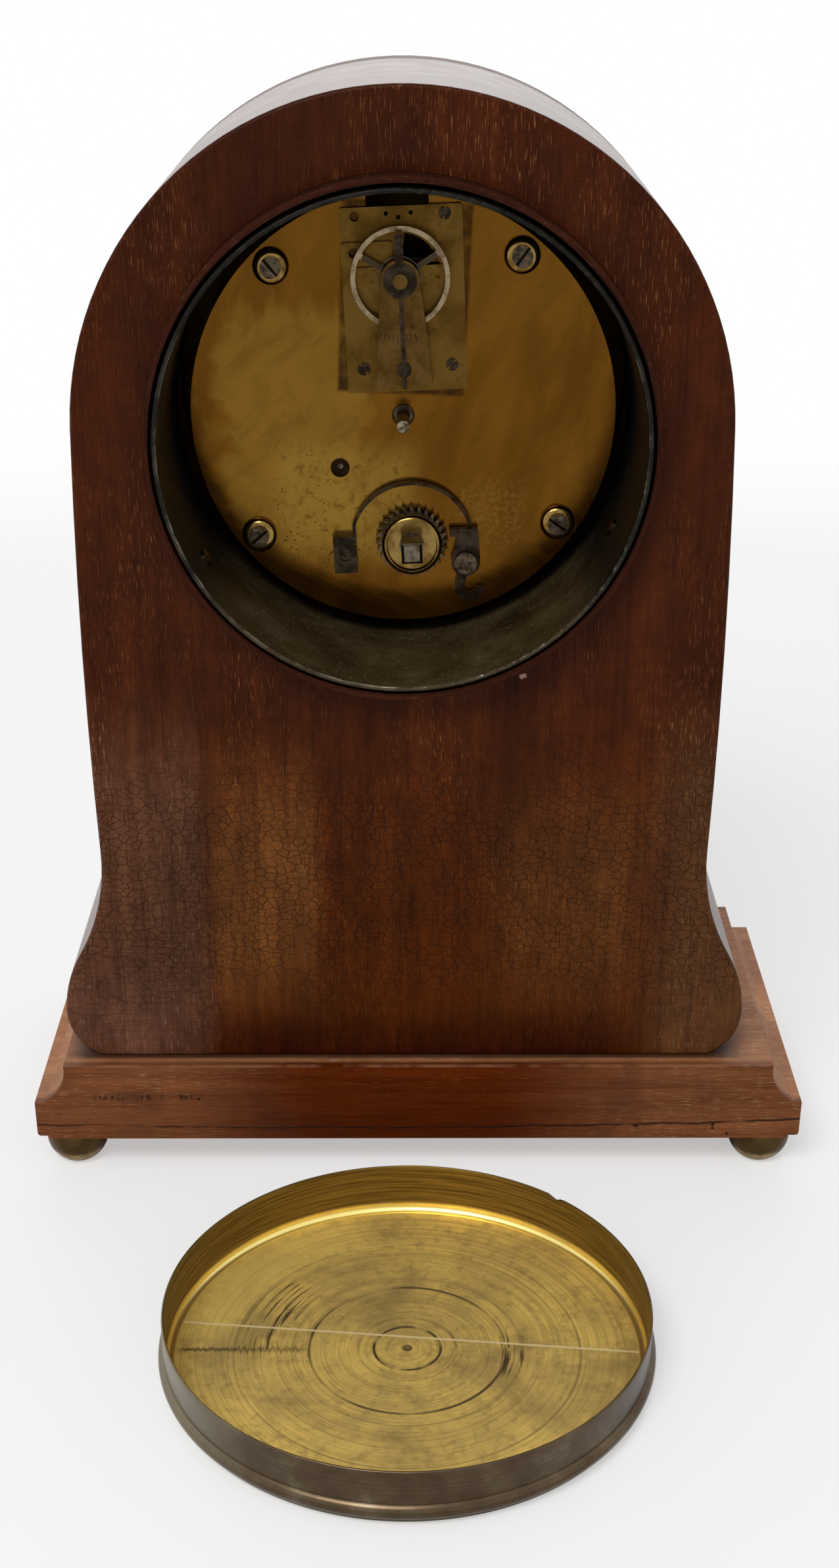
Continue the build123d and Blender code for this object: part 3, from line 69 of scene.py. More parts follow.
# Node materials; lengths in them are millimetres and colours are linear
class Surface:
    """A material being put together. Each method adds nodes and gives back their output."""

    def __init__(self, name):
        self.material = bpy.data.materials.new(name)
        self.material.use_nodes = True
        self.tree = self.material.node_tree
        self.shader = self.tree.nodes["Principled BSDF"]
        self.point = None

    def add(self, kind, inputs=(), **settings):
        node = self.tree.nodes.new(kind)
        for name, value in settings.items():
            setattr(node, name, value)
        for key, value in dict(inputs).items():
            self.put(node.inputs[key], value)
        return node

    def put(self, socket, value):
        if isinstance(value, bpy.types.NodeSocket):
            self.tree.links.new(value, socket)
        elif value is not None:
            socket.default_value = value

    def vector(self, kind, *values):
        return self.add("ShaderNodeVectorMath", dict(enumerate(values)), operation=kind).outputs[0]

    def where(self, shift=(0, 0, 0), scale=(1, 1, 1), turn=(0, 0, 0)):
        """Point on the object in millimetres from a place given in metres, stretched by scale."""
        if self.point is None:
            self.point = self.add("ShaderNodeTexCoord").outputs["Object"]
        place = self.vector("MULTIPLY", self.vector("SUBTRACT", self.point, tuple(shift)), PER_METRE)
        if any(turn):
            place = self.add("ShaderNodeMapping", {"Vector": place, "Rotation": turn}).outputs[0]
        return self.vector("MULTIPLY", place, tuple(scale))

    def split(self, vector):
        return self.add("ShaderNodeSeparateXYZ", {0: vector}).outputs

    def join(self, x, y, z):
        return self.add("ShaderNodeCombineXYZ", {0: x, 1: y, 2: z}).outputs[0]

    def length(self, vector):
        return self.add("ShaderNodeVectorMath", {0: vector}, operation="LENGTH").outputs["Value"]

    def noise(self, vector, scale, detail, rough=0.55, twist=0.0):
        return self.add("ShaderNodeTexNoise", {"Vector": vector, "Scale": scale, "Detail": detail,
                                               "Roughness": rough, "Distortion": twist}).outputs["Fac"]

    def cells(self, vector, scale, feature="DISTANCE_TO_EDGE", flat=False):
        node = self.add("ShaderNodeTexVoronoi", {"Vector": vector, "Scale": scale}, feature=feature,
                        voronoi_dimensions="2D" if flat else "3D")
        return node.outputs["Distance"]

    def calc(self, kind, *values):
        return self.add("ShaderNodeMath", dict(enumerate(values)), operation=kind).outputs[0]

    def sum(self, a, b):
        return self.calc("ADD", a, b)

    def less(self, a, b):
        return self.calc("SUBTRACT", a, b)

    def most(self, a, b):
        return self.calc("MAXIMUM", a, b)

    def size(self, value):
        return self.calc("ABSOLUTE", value)

    def times(self, *values):
        total = values[0]
        for value in values[1:]:
            total = self.calc("MULTIPLY", total, value)
        return total

    def step(self, value, low, high, to_low=0.0, to_high=1.0):
        """Smooth change from to_low to to_high as value goes from low to high."""
        node = self.add("ShaderNodeMapRange", {"Value": value, "From Min": low, "From Max": high,
                                               "To Min": to_low, "To Max": to_high},
                        interpolation_type="SMOOTHSTEP")
        return node.outputs[0]

    def spread(self, noise, to_low, to_high):
        """Change from to_low to to_high over the usual range of a noise."""
        return self.step(noise, *NOISE_SPAN, to_low, to_high)

    def band(self, value, low, high, soft):
        """One between low and high, fading to zero over soft on each side."""
        rise = self.step(value, low - soft, low + soft)
        return self.times(rise, self.step(value, high - soft, high + soft, 1, 0))

    def ramp(self, factor, *stops):
        node = self.add("ShaderNodeValToRGB", {0: factor})
        elements = node.color_ramp.elements
        while len(elements) < len(stops):
            elements.new(0.5)
        for element, (place, colour) in zip(elements, stops):
            element.position = place
            element.color = (*colour, 1)
        return node.outputs[0]

    def blend(self, factor, a, b, kind="MIX"):
        node = self.add("ShaderNodeMix", data_type="RGBA", blend_type=kind)
        self.put(node.inputs[MIX_FACTOR], factor)
        for socket, value in ((node.inputs[MIX_A], a), (node.inputs[MIX_B], b)):
            self.put(socket, (*value, 1) if isinstance(value, tuple) else value)
        return node.outputs[MIX_RESULT]

    def patches(self, noise, one, other):
        """Two colours in soft patches."""
        return self.blend(self.step(noise, *PATCH_SPAN), one, other)

    def paint(self, base, colour, *masks, share=1.0):
        """Base with a colour laid over it by share, where every mask is one."""
        return self.blend(self.times(*masks, share), base, colour)

    def bump(self, height, depth_mm, strength, before=None):
        return self.add("ShaderNodeBump", {"Height": height, "Distance": depth_mm * MM, "Strength": strength,
                                           "Normal": before}).outputs[0]

    def set(self, **inputs):
        for name, value in inputs.items():
            key = name.replace("_", " ")
            if isinstance(value, tuple) and len(value) == 3:
                value = (*value, 1)
            self.put(self.shader.inputs[key], value)
        return self.material


def polar(s, vector):
    """Angle in degrees and distance of a point about the Y axis, with X and Z as its plane."""
    x, _, z = s.split(vector)
    return s.times(s.calc("ARCTAN2", z, x), 180 / math.pi), s.length(s.join(x, 0.0, z))


# Shares of a board's tone: dark, even, pale and pore, and the flecks'
GRAIN_SHADES = ((0.6, 0.54, 0.5), (1.0, 1.0, 1.0), (1.6, 1.75, 1.75), (0.34, 0.3, 0.3))
FLECK_SHADE = (3.6, 7.0, 12.0)
WOOD_SPECULAR, VENEER_COAT, COAT_ROUGHNESS = 0.06, 0.55, 0.2


def wood_colour(s, along, across, deep, tones, fleck, fleck_share, seed):
    """Figure, fine grain, pores and pale flecks of a wood; along runs with the grain, in millimetres."""
    dark, even, pale, pore = tones
    start = s.sum(along, seed)

    def grain(a, b, c):
        return s.join(s.times(start, a), s.times(across, b), s.times(deep, c))

    figure = s.noise(grain(0.008, 0.075, 0.05), 1.0, 4.0, 0.6, 0.4)
    streak = s.noise(grain(0.012, 0.55, 0.4), 1.0, 4.0, 0.65)
    fibre = s.noise(grain(0.09, 3.2, 3.0), 1.0, 3.0, 0.6)
    dark_pore = s.noise(grain(0.16, 4.2, 4.0), 1.0, 2.0, 0.5)
    dash = s.noise(grain(0.36, 4.6, 3.6), 1.0, 2.0, 0.4)
    patchy = s.noise(grain(0.015, 0.06, 0.06), 1.0, 2.0)
    base = s.ramp(figure, (0.3, dark), (0.5, even), (0.7, pale))
    base = s.blend(s.step(streak, 0.46, 0.64, 0, 0.65), base, dark)
    base = s.blend(s.step(fibre, 0.35, 0.75, 0, 0.45), base, pale)
    base = s.blend(s.step(dark_pore, 0.62, 0.72, 0, 0.6), base, pore)
    flecks = s.times(s.step(dash, 0.6, 0.68), s.step(patchy, 0.4, 0.62, 0.12, 1.0))
    base = s.paint(base, fleck, flecks, share=fleck_share)
    return base, s.sum(s.less(fibre, dark_pore), s.times(flecks, 0.5))


ARCH_TONE, LOW_TONE, BOARD_FOOT = (0.04, 0.0076, 0.0014), (0.064, 0.0128, 0.0014), (0.03, 0.0042, 0.0008)
LEFT_BAND, RIGHT_BAND = (0.122, 0.04, 0.009), (0.104, 0.033, 0.0068)
# The two outer tones are painted sheen, a hazy reflection on the lower outer edges of the board
LEFT_PAINTED_SHEEN, RIGHT_PAINTED_SHEEN, LEFT_FOOT = (0.086, 0.031, 0.0145), (0.082, 0.03, 0.0095), (0.098, 0.037, 0.0205)
# Mottling of the back board: scale across and up, seed, detail, twist, darkest and lightest share
MOTTLING = ((0.06, 0.03, 0.0, 4.0, 0.5, 0.8, 1.22), (0.32, 0.18, 3.0, 3.0, 0.0, 0.86, 1.13),
            (0.22, 3.6, 7.0, 3.0, 0.0, 0.88, 1.12))


def panel_tone(s, x, z):
    """Broad tone of the back board: dark arch, paler bands below, painted sheen on the lower outer edges, a
    dark foot.
    """
    low = s.step(z, -42, -72)
    above_foot = s.step(z, -122, -96)
    left_band = s.times(s.band(x, 17, 38, 2.5), s.step(z, -50, -84), above_foot)
    right_band = s.times(s.band(x, -46, -19, 8), s.step(z, -56, -84), above_foot)
    foot = s.times(s.step(z, -110, -121), s.step(s.size(x), 52, 30))
    tone = s.blend(low, ARCH_TONE, LOW_TONE)
    tone = s.paint(tone, LEFT_BAND, left_band, share=0.9)
    tone = s.paint(tone, RIGHT_BAND, right_band, share=0.85)
    # Painted sheen: paler, bluer haze over the lower outer edges of the board
    tone = s.paint(tone, LEFT_PAINTED_SHEEN, s.step(x, 36, 41), low)
    tone = s.paint(tone, RIGHT_PAINTED_SHEEN, s.step(x, -44, -56), low)
    tone = s.paint(tone, LEFT_FOOT, s.step(x, 38, 50), s.step(z, -100, -116))
    tone = s.paint(tone, BOARD_FOOT, foot, share=0.9)
    for across, up, seed, detail, twist, darkest, lightest in MOTTLING:
        mark = s.noise(s.join(s.times(x, across), seed, s.times(z, up)), 1.0, detail, 0.6, twist)
        level = s.spread(mark, darkest, lightest)
        tone = s.blend(1.0, tone, s.join(level, level, level), "MULTIPLY")
    return tone


MID_GREY = (0.5, 0.5, 0.5)


def crackle(s, x, z):
    """Dark lines of the crackled varnish below the hole and the level cracks at the lower left."""
    place = s.where(AXIS)
    zone = s.band(s.sum(z, s.times(s.noise(place, 0.08, 3.0), 30)), -95, -44, 12)
    warp = s.add("ShaderNodeTexNoise", {"Vector": place, "Scale": 0.3, "Detail": 2.0}).outputs["Color"]
    stretched = s.join(s.times(x, 0.46), s.times(z, 0.62), 0.0)
    shaken = s.vector("ADD", stretched, s.blend(0.5, MID_GREY, warp))
    coarse = s.step(s.cells(shaken, 1.0, flat=True), 0.025, 0.062, 1, 0)
    fine = s.step(s.cells(shaken, 1.9, flat=True), 0.025, 0.075, 1, 0)
    level = s.join(s.times(x, 0.1), s.times(z, 0.75), 0.0)
    lines = s.step(s.cells(level, 1.0, flat=True), 0.02, 0.07, 1, 0)
    left = s.times(s.step(x, 24, 42), s.band(z, -119, -88, 8))
    broken = s.step(s.noise(place, 0.16, 3.0), 0.32, 0.5, 0.25, 1.0)
    net = s.times(s.most(coarse, s.times(fine, 0.45)), zone, broken)
    return s.most(net, s.times(lines, left, broken, 0.6))


FRONT_TONE, CRACK_LINE = (0.06, 0.016, 0.005), (0.01, 0.003, 0.0018)
BARE_WOOD, BOARD_EDGE = (0.42, 0.24, 0.18), (0.088, 0.033, 0.016)
# Chip in the varnish, in millimetres from the middle of the hole
CHIP_PLACE = Vector((-22.2, 0, -42.5))
BACK_SEED, FRONT_SEED = 40.0, 240.0


def panel_wood(name, aged):
    """Vertical-grained mahogany of the flat boards. The aged back has crackled varnish and wear."""
    s = Surface(name)
    x, y, z = s.split(s.where(AXIS))
    flecks = s.step(z, -40, -80, 0.85, 0.3) if aged else 0.3
    seed = BACK_SEED if aged else FRONT_SEED
    shade, relief = wood_colour(s, z, x, y, GRAIN_SHADES, FLECK_SHADE, flecks, seed)
    base = s.blend(1.0, panel_tone(s, x, z) if aged else FRONT_TONE, shade, "MULTIPLY")
    normal = s.bump(relief, 0.05, 0.5)
    if aged:
        crack = crackle(s, x, z)
        base = s.paint(base, CRACK_LINE, crack, share=0.7)
        normal = s.bump(s.less(1.0, crack), 0.1, 0.7, normal)
        from_chip = s.length(s.where(AXIS + CHIP_PLACE * MM, (1, 0.2, 1.5)))
        ragged = s.sum(from_chip, s.times(s.noise(s.where(AXIS), 1.4, 2.0), 1.6))
        base = s.paint(base, BARE_WOOD, s.step(ragged, 1.2, 1.7, 1, 0), share=0.9)
        edge = s.step(y, -0.4, -1.1)
        base = s.paint(base, BOARD_EDGE, edge, share=0.9)
        s.set(Coat_Weight=s.times(edge, VENEER_COAT), Coat_Roughness=COAT_ROUGHNESS)
    return s.set(Base_Color=base, Roughness=s.step(relief, *RELIEF_SPAN, 0.34, 0.5), Normal=normal,
                 Specular_IOR_Level=WOOD_SPECULAR)


# Length of the bent side over the arch in millimetres, and its tones
HALF_ROUND = 184.0
WRAP_TONES = ((0.062, 0.022, 0.0105), (0.092, 0.035, 0.017), (0.125, 0.052, 0.0265), (0.04, 0.013, 0.006))
WRAP_FLECK = (0.22, 0.11, 0.06)


def wrap_wood():
    """Glossy veneer bent around the sides, its grain running around the arch."""
    s = Surface("bent_veneer")
    place = s.where(AXIS)
    x, y, z = s.split(place)
    arch = s.step(z, -0.5, 0.5)
    left = s.step(x, -1, 1)
    down = s.sum(s.times(z, s.step(left, 0, 1, -1, 1)), s.step(left, 0, 1, HALF_ROUND, 0))
    over = s.times(arch, polar(s, place)[0], HALF_ROUND / 180)
    around = s.sum(over, s.times(s.less(1.0, arch), down))
    base, relief = wood_colour(s, around, y, 0.0, WRAP_TONES, WRAP_FLECK, 0.35, 90.0)
    rough = s.spread(s.noise(place, 0.12, 3.0), 0.3, 0.42)
    return s.set(Base_Color=base, Roughness=rough, Normal=s.bump(relief, 0.01, 0.1), Coat_Weight=VENEER_COAT,
                 Coat_Roughness=COAT_ROUGHNESS, Specular_IOR_Level=WOOD_SPECULAR)


# Worm holes in the plinth's back: across, up and radius, in millimetres from the middle of its lower edge
PLINTH_HOLES = ((-47.6, 3.0, 0.5), (-63.4, 3.3, 0.5), (-63.4, 2.4, 0.4), (-66.4, 1.1, 0.4), (42.0, 9.6, 0.4))
PLINTH_MIDDLE, PLINTH_END, PLINTH_LIT_SIDE = (0.082, 0.013, 0.0012), (0.165, 0.053, 0.018), (0.35, 0.15, 0.068)
PLINTH_CRACK, PLINTH_HOLE, PLINTH_GRIME = (0.016, 0.005, 0.003), (0.01, 0.004, 0.003), (0.045, 0.014, 0.007)
PLINTH_NICK, PLINTH_CONTACT_SHADOW, PLINTH_ARRIS_HIGHLIGHT = (0.022, 0.008, 0.005), (0.016, 0.005, 0.002), (0.3, 0.135, 0.068)


def plinth_wood():
    """Horizontal-grained base board, paler and redder than the case, with a crack along its back, painted
    light on its top and sides, painted shadow under the case and a painted highlight on its arris.
    """
    s = Surface("plinth_wood")
    corner = Vector((AXIS.x, plinth_high.y, plinth_low.z))
    place = s.where(corner)
    x, y, z = s.split(place)
    shade, relief = wood_colour(s, x, z, y, GRAIN_SHADES, FLECK_SHADE, 0.3, 15.0)
    tone = s.blend(s.step(s.size(x), 16, 52), PLINTH_MIDDLE, PLINTH_END)
    # Painted light: the top and moulded sides, away from the back face, are much paler, as if lit
    tone = s.blend(s.step(y, -0.8, -3.0), tone, PLINTH_LIT_SIDE)
    base = s.blend(1.0, tone, shade, "MULTIPLY")
    back = s.step(y, -1.5, -0.5)
    wander = s.noise(s.join(s.times(x, 0.09), 0.0, 0.0), 1.0, 4.0, 0.6)
    off_middle = s.sum(x, -12.0)
    bow = s.times(off_middle, off_middle, 0.00022)
    level = s.sum(s.sum(bow, s.times(wander, 1.8)), 1.7)
    off_crack = s.calc("DIVIDE", s.size(s.less(z, level)), s.step(x, -75, 10, 0.4, 0.28))
    broken = s.step(s.noise(place, 0.12, 2.0), 0.36, 0.5, 0.35, 1)
    crack = s.times(s.step(off_crack, 0.4, 1.0, 1, 0), back, broken)
    base = s.paint(base, PLINTH_CRACK, crack, share=0.85)
    for across, up, size in PLINTH_HOLES:
        from_hole = s.length(s.where(corner + Vector((across, 0, up)) * MM))
        base = s.paint(base, PLINTH_HOLE, s.step(from_hole, size * 0.6, size, 0.9, 0), back)
    grime_and_shadow = s.step(s.noise(place, 0.06, 4.0, 0.6), 0.5, 0.7)
    base = s.paint(base, PLINTH_GRIME, grime_and_shadow, share=0.35)
    nick_zone = s.times(s.band(x, 42, 64, 2), s.band(z, 9.4, 10.6, 0.4), back)
    nick = s.times(s.step(s.noise(s.where(corner, (1.3, 1, 0.6)), 0.8, 2.0), 0.5, 0.58), nick_zone)
    base = s.paint(base, PLINTH_NICK, nick, share=0.75)
    # Painted shadow: a dark strip on the plinth's top where the case stands on it
    contact_shadow = s.times(s.step(z, 16.6, 17.2), s.step(y, -2.2, -4.0), s.step(s.size(x), 72, 64))
    base = s.paint(base, PLINTH_CONTACT_SHADOW, contact_shadow, share=0.85)
    # Painted highlight along the top arris of the back face, broken up by noise as rubbed wear
    rubbed_and_lit = s.step(s.noise(place, 0.1, 3.0), 0.36, 0.54)
    arris_highlight = s.times(s.band(z, 17.1, 17.6, 0.15), s.step(y, -0.9, -0.4), rubbed_and_lit)
    base = s.paint(base, PLINTH_ARRIS_HIGHLIGHT, arris_highlight, share=0.6)
    height = s.less(relief, s.times(s.sum(crack, nick), 2.5))
    return s.set(Base_Color=base, Roughness=s.step(relief, *RELIEF_SPAN, 0.32, 0.46),
                 Normal=s.bump(height, 0.06, 0.6), Specular_IOR_Level=WOOD_SPECULAR)


COLLAR_TONES = ((0.018, 0.0046, 0.002), (0.034, 0.0085, 0.0034), (0.058, 0.016, 0.0068),
                (0.006, 0.002, 0.001))
COLLAR_FLECK, COLLAR_FOOT_SHADE = (0.2, 0.1, 0.06), (0.012, 0.004, 0.003)
COLLAR_LINE, COLLAR_RIDGE = (0.007, 0.0025, 0.0018), (0.095, 0.032, 0.017)


def collar_wood():
    """Turned collar around the hole, worn and dark between its lines, with painted shade at its foot against
    the board.
    """
    s = Surface("collar_wood")
    place = s.where(AXIS)
    y = s.split(place)[1]
    angle, radius = polar(s, place)
    base, relief = wood_colour(s, angle, s.times(y, 2.0), s.times(radius, 2.0), COLLAR_TONES, COLLAR_FLECK,
                               0.3, 30.0)
    # Painted shade at the collar's foot, where it meets the board
    base = s.paint(base, COLLAR_FOOT_SHADE, s.step(y, 0.0, 0.7, 1, 0), share=0.85)
    wobble = s.times(s.noise(place, 0.12, 3.0), 1.4)
    turned = s.noise(s.join(s.sum(s.sum(radius, y), wobble), 0.0, 0.0), 1.5, 2.0, 0.7)
    base = s.blend(s.step(turned, 0.48, 0.6, 0, 0.85), base, COLLAR_LINE)
    base = s.blend(s.step(turned, 0.44, 0.34, 0, 0.5), base, COLLAR_RIDGE)
    height = s.sum(relief, s.times(turned, -3.0))
    return s.set(Base_Color=base, Roughness=0.5, Specular_IOR_Level=0.03, Normal=s.bump(height, 0.1, 0.7))


# Two sets of scratches in worn metal: scale along each axis, and turn
SCRATCHES = (((0.35, 0.35, 6.0), (0.3, 0.2, 0.4)), ((6.0, 0.5, 0.4), (0.1, 0.7, 0.2)))


def metal(name, clean, dull, dark, rough, patch_scale, spot_share):
    """Worn metal: two tones in patches, fine scratches and small dark spots."""
    s = Surface(name)
    place = s.where()
    patch = s.noise(place, patch_scale, 5.0, 0.62, 0.3)
    speck = s.noise(place, 0.9, 3.0, 0.6)
    base = s.paint(s.patches(patch, clean, dull), dark, s.step(speck, 0.6, 0.72), share=spot_share)
    lines = s.times(*[s.noise(s.where(scale=scale, turn=turn), 1.0, 2.0) for scale, turn in SCRATCHES])
    polish = s.step(s.sum(patch, s.times(lines, 0.4)), 0.4, 0.85, *rough)
    relief = s.sum(s.times(lines, 0.5), s.times(speck, 0.5))
    return s.set(Base_Color=base, Metallic=1.0, Roughness=polish, Normal=s.bump(relief, 0.02, 0.35))


# Turn of the movement in its case, half the platform's sides, and where the oil around two holes fades
MOVEMENT_TURN = math.radians(2.4)
PLATFORM_HALF = (10.95, 16.15)
SINK_OIL, HAND_HOLE_OIL = (1.65, 1.95), (1.9, 2.3)
PLATE_WARM, PLATE_GOLD, PLATE_BROWN = (0.14, 0.059, 0.0072), (0.205, 0.108, 0.017), (0.092, 0.036, 0.004)
PLATE_UPPER, PLATE_PALE, PLATE_STAIN = (0.125, 0.056, 0.008), (0.25, 0.145, 0.025), (0.075, 0.036, 0.006)
PLATE_PIT, PLATE_GRIT, PLATE_SMUDGE = (0.022, 0.01, 0.003), (0.2, 0.115, 0.026), (0.075, 0.034, 0.0045)
# The near black of old oil, also used as painted shade in the screw slots
PLATFORM_EDGE_SHADOW, OIL_AND_SHADE = (0.012, 0.007, 0.003), (0.004, 0.003, 0.002)


def plate_brass():
    """Back plate: a cleaned patch on one side, pits and stains below it, a rough patch, oil, a painted
    reflection and a painted shadow round the platform.
    """
    s = Surface("plate_brass")
    centre = Vector((AXIS.x, plate_high.y, AXIS.z))
    place = s.where(centre)
    x, _, z = s.split(place)
    u = s.times(x, -1.0)
    cloud = s.noise(place, 0.07, 5.0, 0.6, 0.6)
    wisp = s.noise(s.where(centre, (0.1, 0.1, 0.028), (0, 0.35, 0)), 1.0, 4.0, 0.6, 0.5)
    base = s.blend(s.step(wisp, 0.35, 0.68), PLATE_WARM, PLATE_BROWN)
    shifted = s.sum(u, s.times(s.less(cloud, 0.5), 26))
    drip = s.noise(s.where(centre, (0.32, 0.1, 0.05)), 1.0, 3.0, 0.6)
    top = s.sum(z, s.times(drip, 12))
    cleaned = s.times(s.band(shifted, -34, -9, 2.6), s.band(top, -16, 25, 3.0))
    base = s.paint(base, PLATE_GOLD, cleaned, share=0.7)
    # Painted reflection: a darker diagonal band on the right side of the plate
    slant = s.sum(s.times(s.sum(u, -13.0), -0.62), s.sum(z, 8.0))
    shade = s.times(s.band(slant, -5.5, 0.2, 1.2), s.step(u, 8, 22), s.step(cloud, 0.3, 0.6))
    base = s.paint(base, PLATE_BROWN, shade, share=0.35)
    upper = s.times(s.step(z, 4, 26), s.step(cloud, 0.3, 0.6, 0.5, 1.0))
    base = s.paint(base, PLATE_UPPER, upper, share=0.35)
    low_left = s.times(s.band(u, -24, 2, 4), s.band(z, -27, -6, 4))
    pits = s.step(s.cells(s.where(centre, (1.1, 1.1, 1.1)), 1.0, "F1"), 0.14, 0.26, 1, 0)
    pit_mask = s.times(pits, s.step(s.noise(place, 0.22, 2.0), 0.44, 0.56), s.step(low_left, 0, 1, 0.1, 1))
    base = s.paint(base, PLATE_PIT, pit_mask, share=0.85)
    base = s.paint(base, PLATE_PALE, low_left, share=0.6)
    stain = s.times(s.step(s.noise(place, 0.45, 5.0, 0.7), 0.5, 0.68), low_left)
    base = s.paint(base, PLATE_STAIN, stain, share=0.65)
    # Painted shadow: a dark, uneven outline on the plate round the edges of the platform
    platform = middle("platform_plate")
    side, _, up = s.split(s.where((platform.x, plate_high.y, platform.z), turn=(0, MOVEMENT_TURN, 0)))
    half_side, half_up = PLATFORM_HALF
    out = s.most(s.sum(s.size(side), -half_side), s.sum(s.size(up), -half_up))
    grime_and_shadow = s.times(s.step(out, 0.25, 1.1, 1, 0), s.step(s.noise(place, 0.3, 3.0), 0.3, 0.6, 0.5, 1.0))
    base = s.paint(base, PLATFORM_EDGE_SHADOW, grime_and_shadow, share=0.85)
    for spot, fade in ((middle("intermediate_arbor"), SINK_OIL), (centre, HAND_HOLE_OIL)):
        away = s.length(s.where((spot.x, plate_high.y, spot.z), (1, 0, 1)))
        base = s.blend(s.step(away, *fade, 0.97, 0), base, OIL_AND_SHADE)
    rough_zone = s.times(s.band(s.sum(u, s.times(cloud, 10)), 15, 27, 2), s.band(z, -25, -13, 2))
    grit = s.noise(place, 1.1, 4.0, 0.7)
    base = s.paint(base, PLATE_GRIT, rough_zone, s.step(grit, 0.45, 0.62), share=0.4)
    smudge = s.noise(s.where(centre, (0.22, 0.2, 0.1), (0, 0.7, 0)), 1.0, 5.0, 0.7, 0.8)
    base = s.blend(s.step(smudge, 0.46, 0.7, 0, 0.35), base, PLATE_SMUDGE)
    smear = s.noise(s.where(centre, (0.05, 0.05, 0.5), (0, 0.5, 0)), 1.0, 3.0)
    rough = s.sum(s.step(smear, 0.3, 0.75, 0.11, 0.2), s.times(s.most(rough_zone, cleaned), 0.06))
    rough = s.sum(rough, s.times(pit_mask, 0.3))
    fine = s.noise(s.where(centre, (9, 9, 0.7), (0, 0.25, 0)), 1.0, 2.0)
    height = s.less(s.sum(s.times(fine, 0.25), s.times(grit, rough_zone)), s.times(pit_mask, 1.6))
    return s.set(Base_Color=base, Metallic=1.0, Roughness=rough, Normal=s.bump(height, 0.03, 0.6))


# Width of the balance's rim, radii of bright pivots, depth of slots and the click's screw above the others
BALANCE_RIM, PIVOT_RADIUS, HAND_ARBOR_RADIUS = 1.15, 0.5, 1.0
SLOT_FLOOR, CLICK_SCREW_RISE = 0.3, 0.54
RIM_BRIGHT, RIM_DULL, BALANCE_ARM = (0.25, 0.195, 0.118), (0.14, 0.102, 0.056), (0.028, 0.019, 0.011)
PIVOT_BRIGHT, PIVOT_DULL = (0.26, 0.205, 0.135), (0.05, 0.036, 0.022)
SCREW_CLEAN, SCREW_DULL, SCREW_SCRATCH = (0.078, 0.057, 0.035), (0.026, 0.018, 0.011), (0.22, 0.175, 0.12)


def balance_metal():
    """Balance: a bright rim and dark arms."""
    s = Surface("balance_metal")
    radius = polar(s, s.where(middle("balance_wheel")))[1]
    inner = (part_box("balance_wheel")[1].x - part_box("balance_wheel")[0].x) / 2 / MM - BALANCE_RIM
    cloud = s.noise(s.where(), 0.5, 4.0, 0.6)
    base = s.patches(cloud, RIM_BRIGHT, RIM_DULL)
    base = s.blend(s.step(radius, inner - 0.15, inner + 0.1, 0.9, 0), base, BALANCE_ARM)
    return s.set(Base_Color=base, Metallic=1.0, Roughness=s.spread(cloud, 0.12, 0.26),
                 Normal=s.bump(cloud, 0.02, 0.3))


def pivot_steel(node, pivot):
    """Arbor whose end is dark with oil around a bright pivot of the given radius."""
    s = Surface(node + "_steel")
    radius = polar(s, s.where(middle(node)))[1]
    grain = s.noise(s.where(), 0.9, 3.0)
    base = s.patches(grain, PIVOT_BRIGHT, PIVOT_DULL)
    base = s.blend(s.step(radius, pivot, pivot + 0.2, 0, 0.98), base, OIL_AND_SHADE)
    return s.set(Base_Color=base, Metallic=1.0, Roughness=s.spread(grain, 0.18, 0.34),
                 Normal=s.bump(grain, 0.01, 0.3))


def screw_steel():
    """Slotted screws: polished heads, with painted shade in their slots and below the heads."""
    s = Surface("slotted_steel")
    y = s.split(s.where(Vector((0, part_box("plate_screws")[1].y, 0))))[1]
    slot = -CLICK_SCREW_RISE - SLOT_FLOOR
    cloud = s.noise(s.where(), 0.6, 4.0, 0.6)
    scratch = s.noise(s.where(scale=(0.4, 0.4, 7.0), turn=(0.3, 0.2, 0.4)), 1.0, 2.0)
    base = s.patches(cloud, SCREW_CLEAN, SCREW_DULL)
    base = s.blend(s.step(scratch, 0.56, 0.7, 0, 0.5), base, SCREW_SCRATCH)
    # Painted shade: near black in the slots and down the shanks, below the slot floor
    base = s.blend(s.step(y, slot, slot + 0.1, 0.97, 0), base, OIL_AND_SHADE)
    return s.set(Base_Color=base, Metallic=1.0, Roughness=s.spread(cloud, 0.12, 0.3),
                 Normal=s.bump(s.sum(cloud, scratch), 0.02, 0.35))


SLEEVE_WALL = 0.9
SLEEVE_TONES = ((0.3, (0.016, 0.0095, 0.0035)), (0.52, (0.036, 0.0235, 0.0085)), (0.72, (0.06, 0.044, 0.02)))
SLEEVE_SHADE, SLEEVE_SPECK, SLEEVE_WORN_HIGHLIGHT = (0.0012, 0.0008, 0.0005), (0.16, 0.145, 0.105), (0.19, 0.165, 0.12)


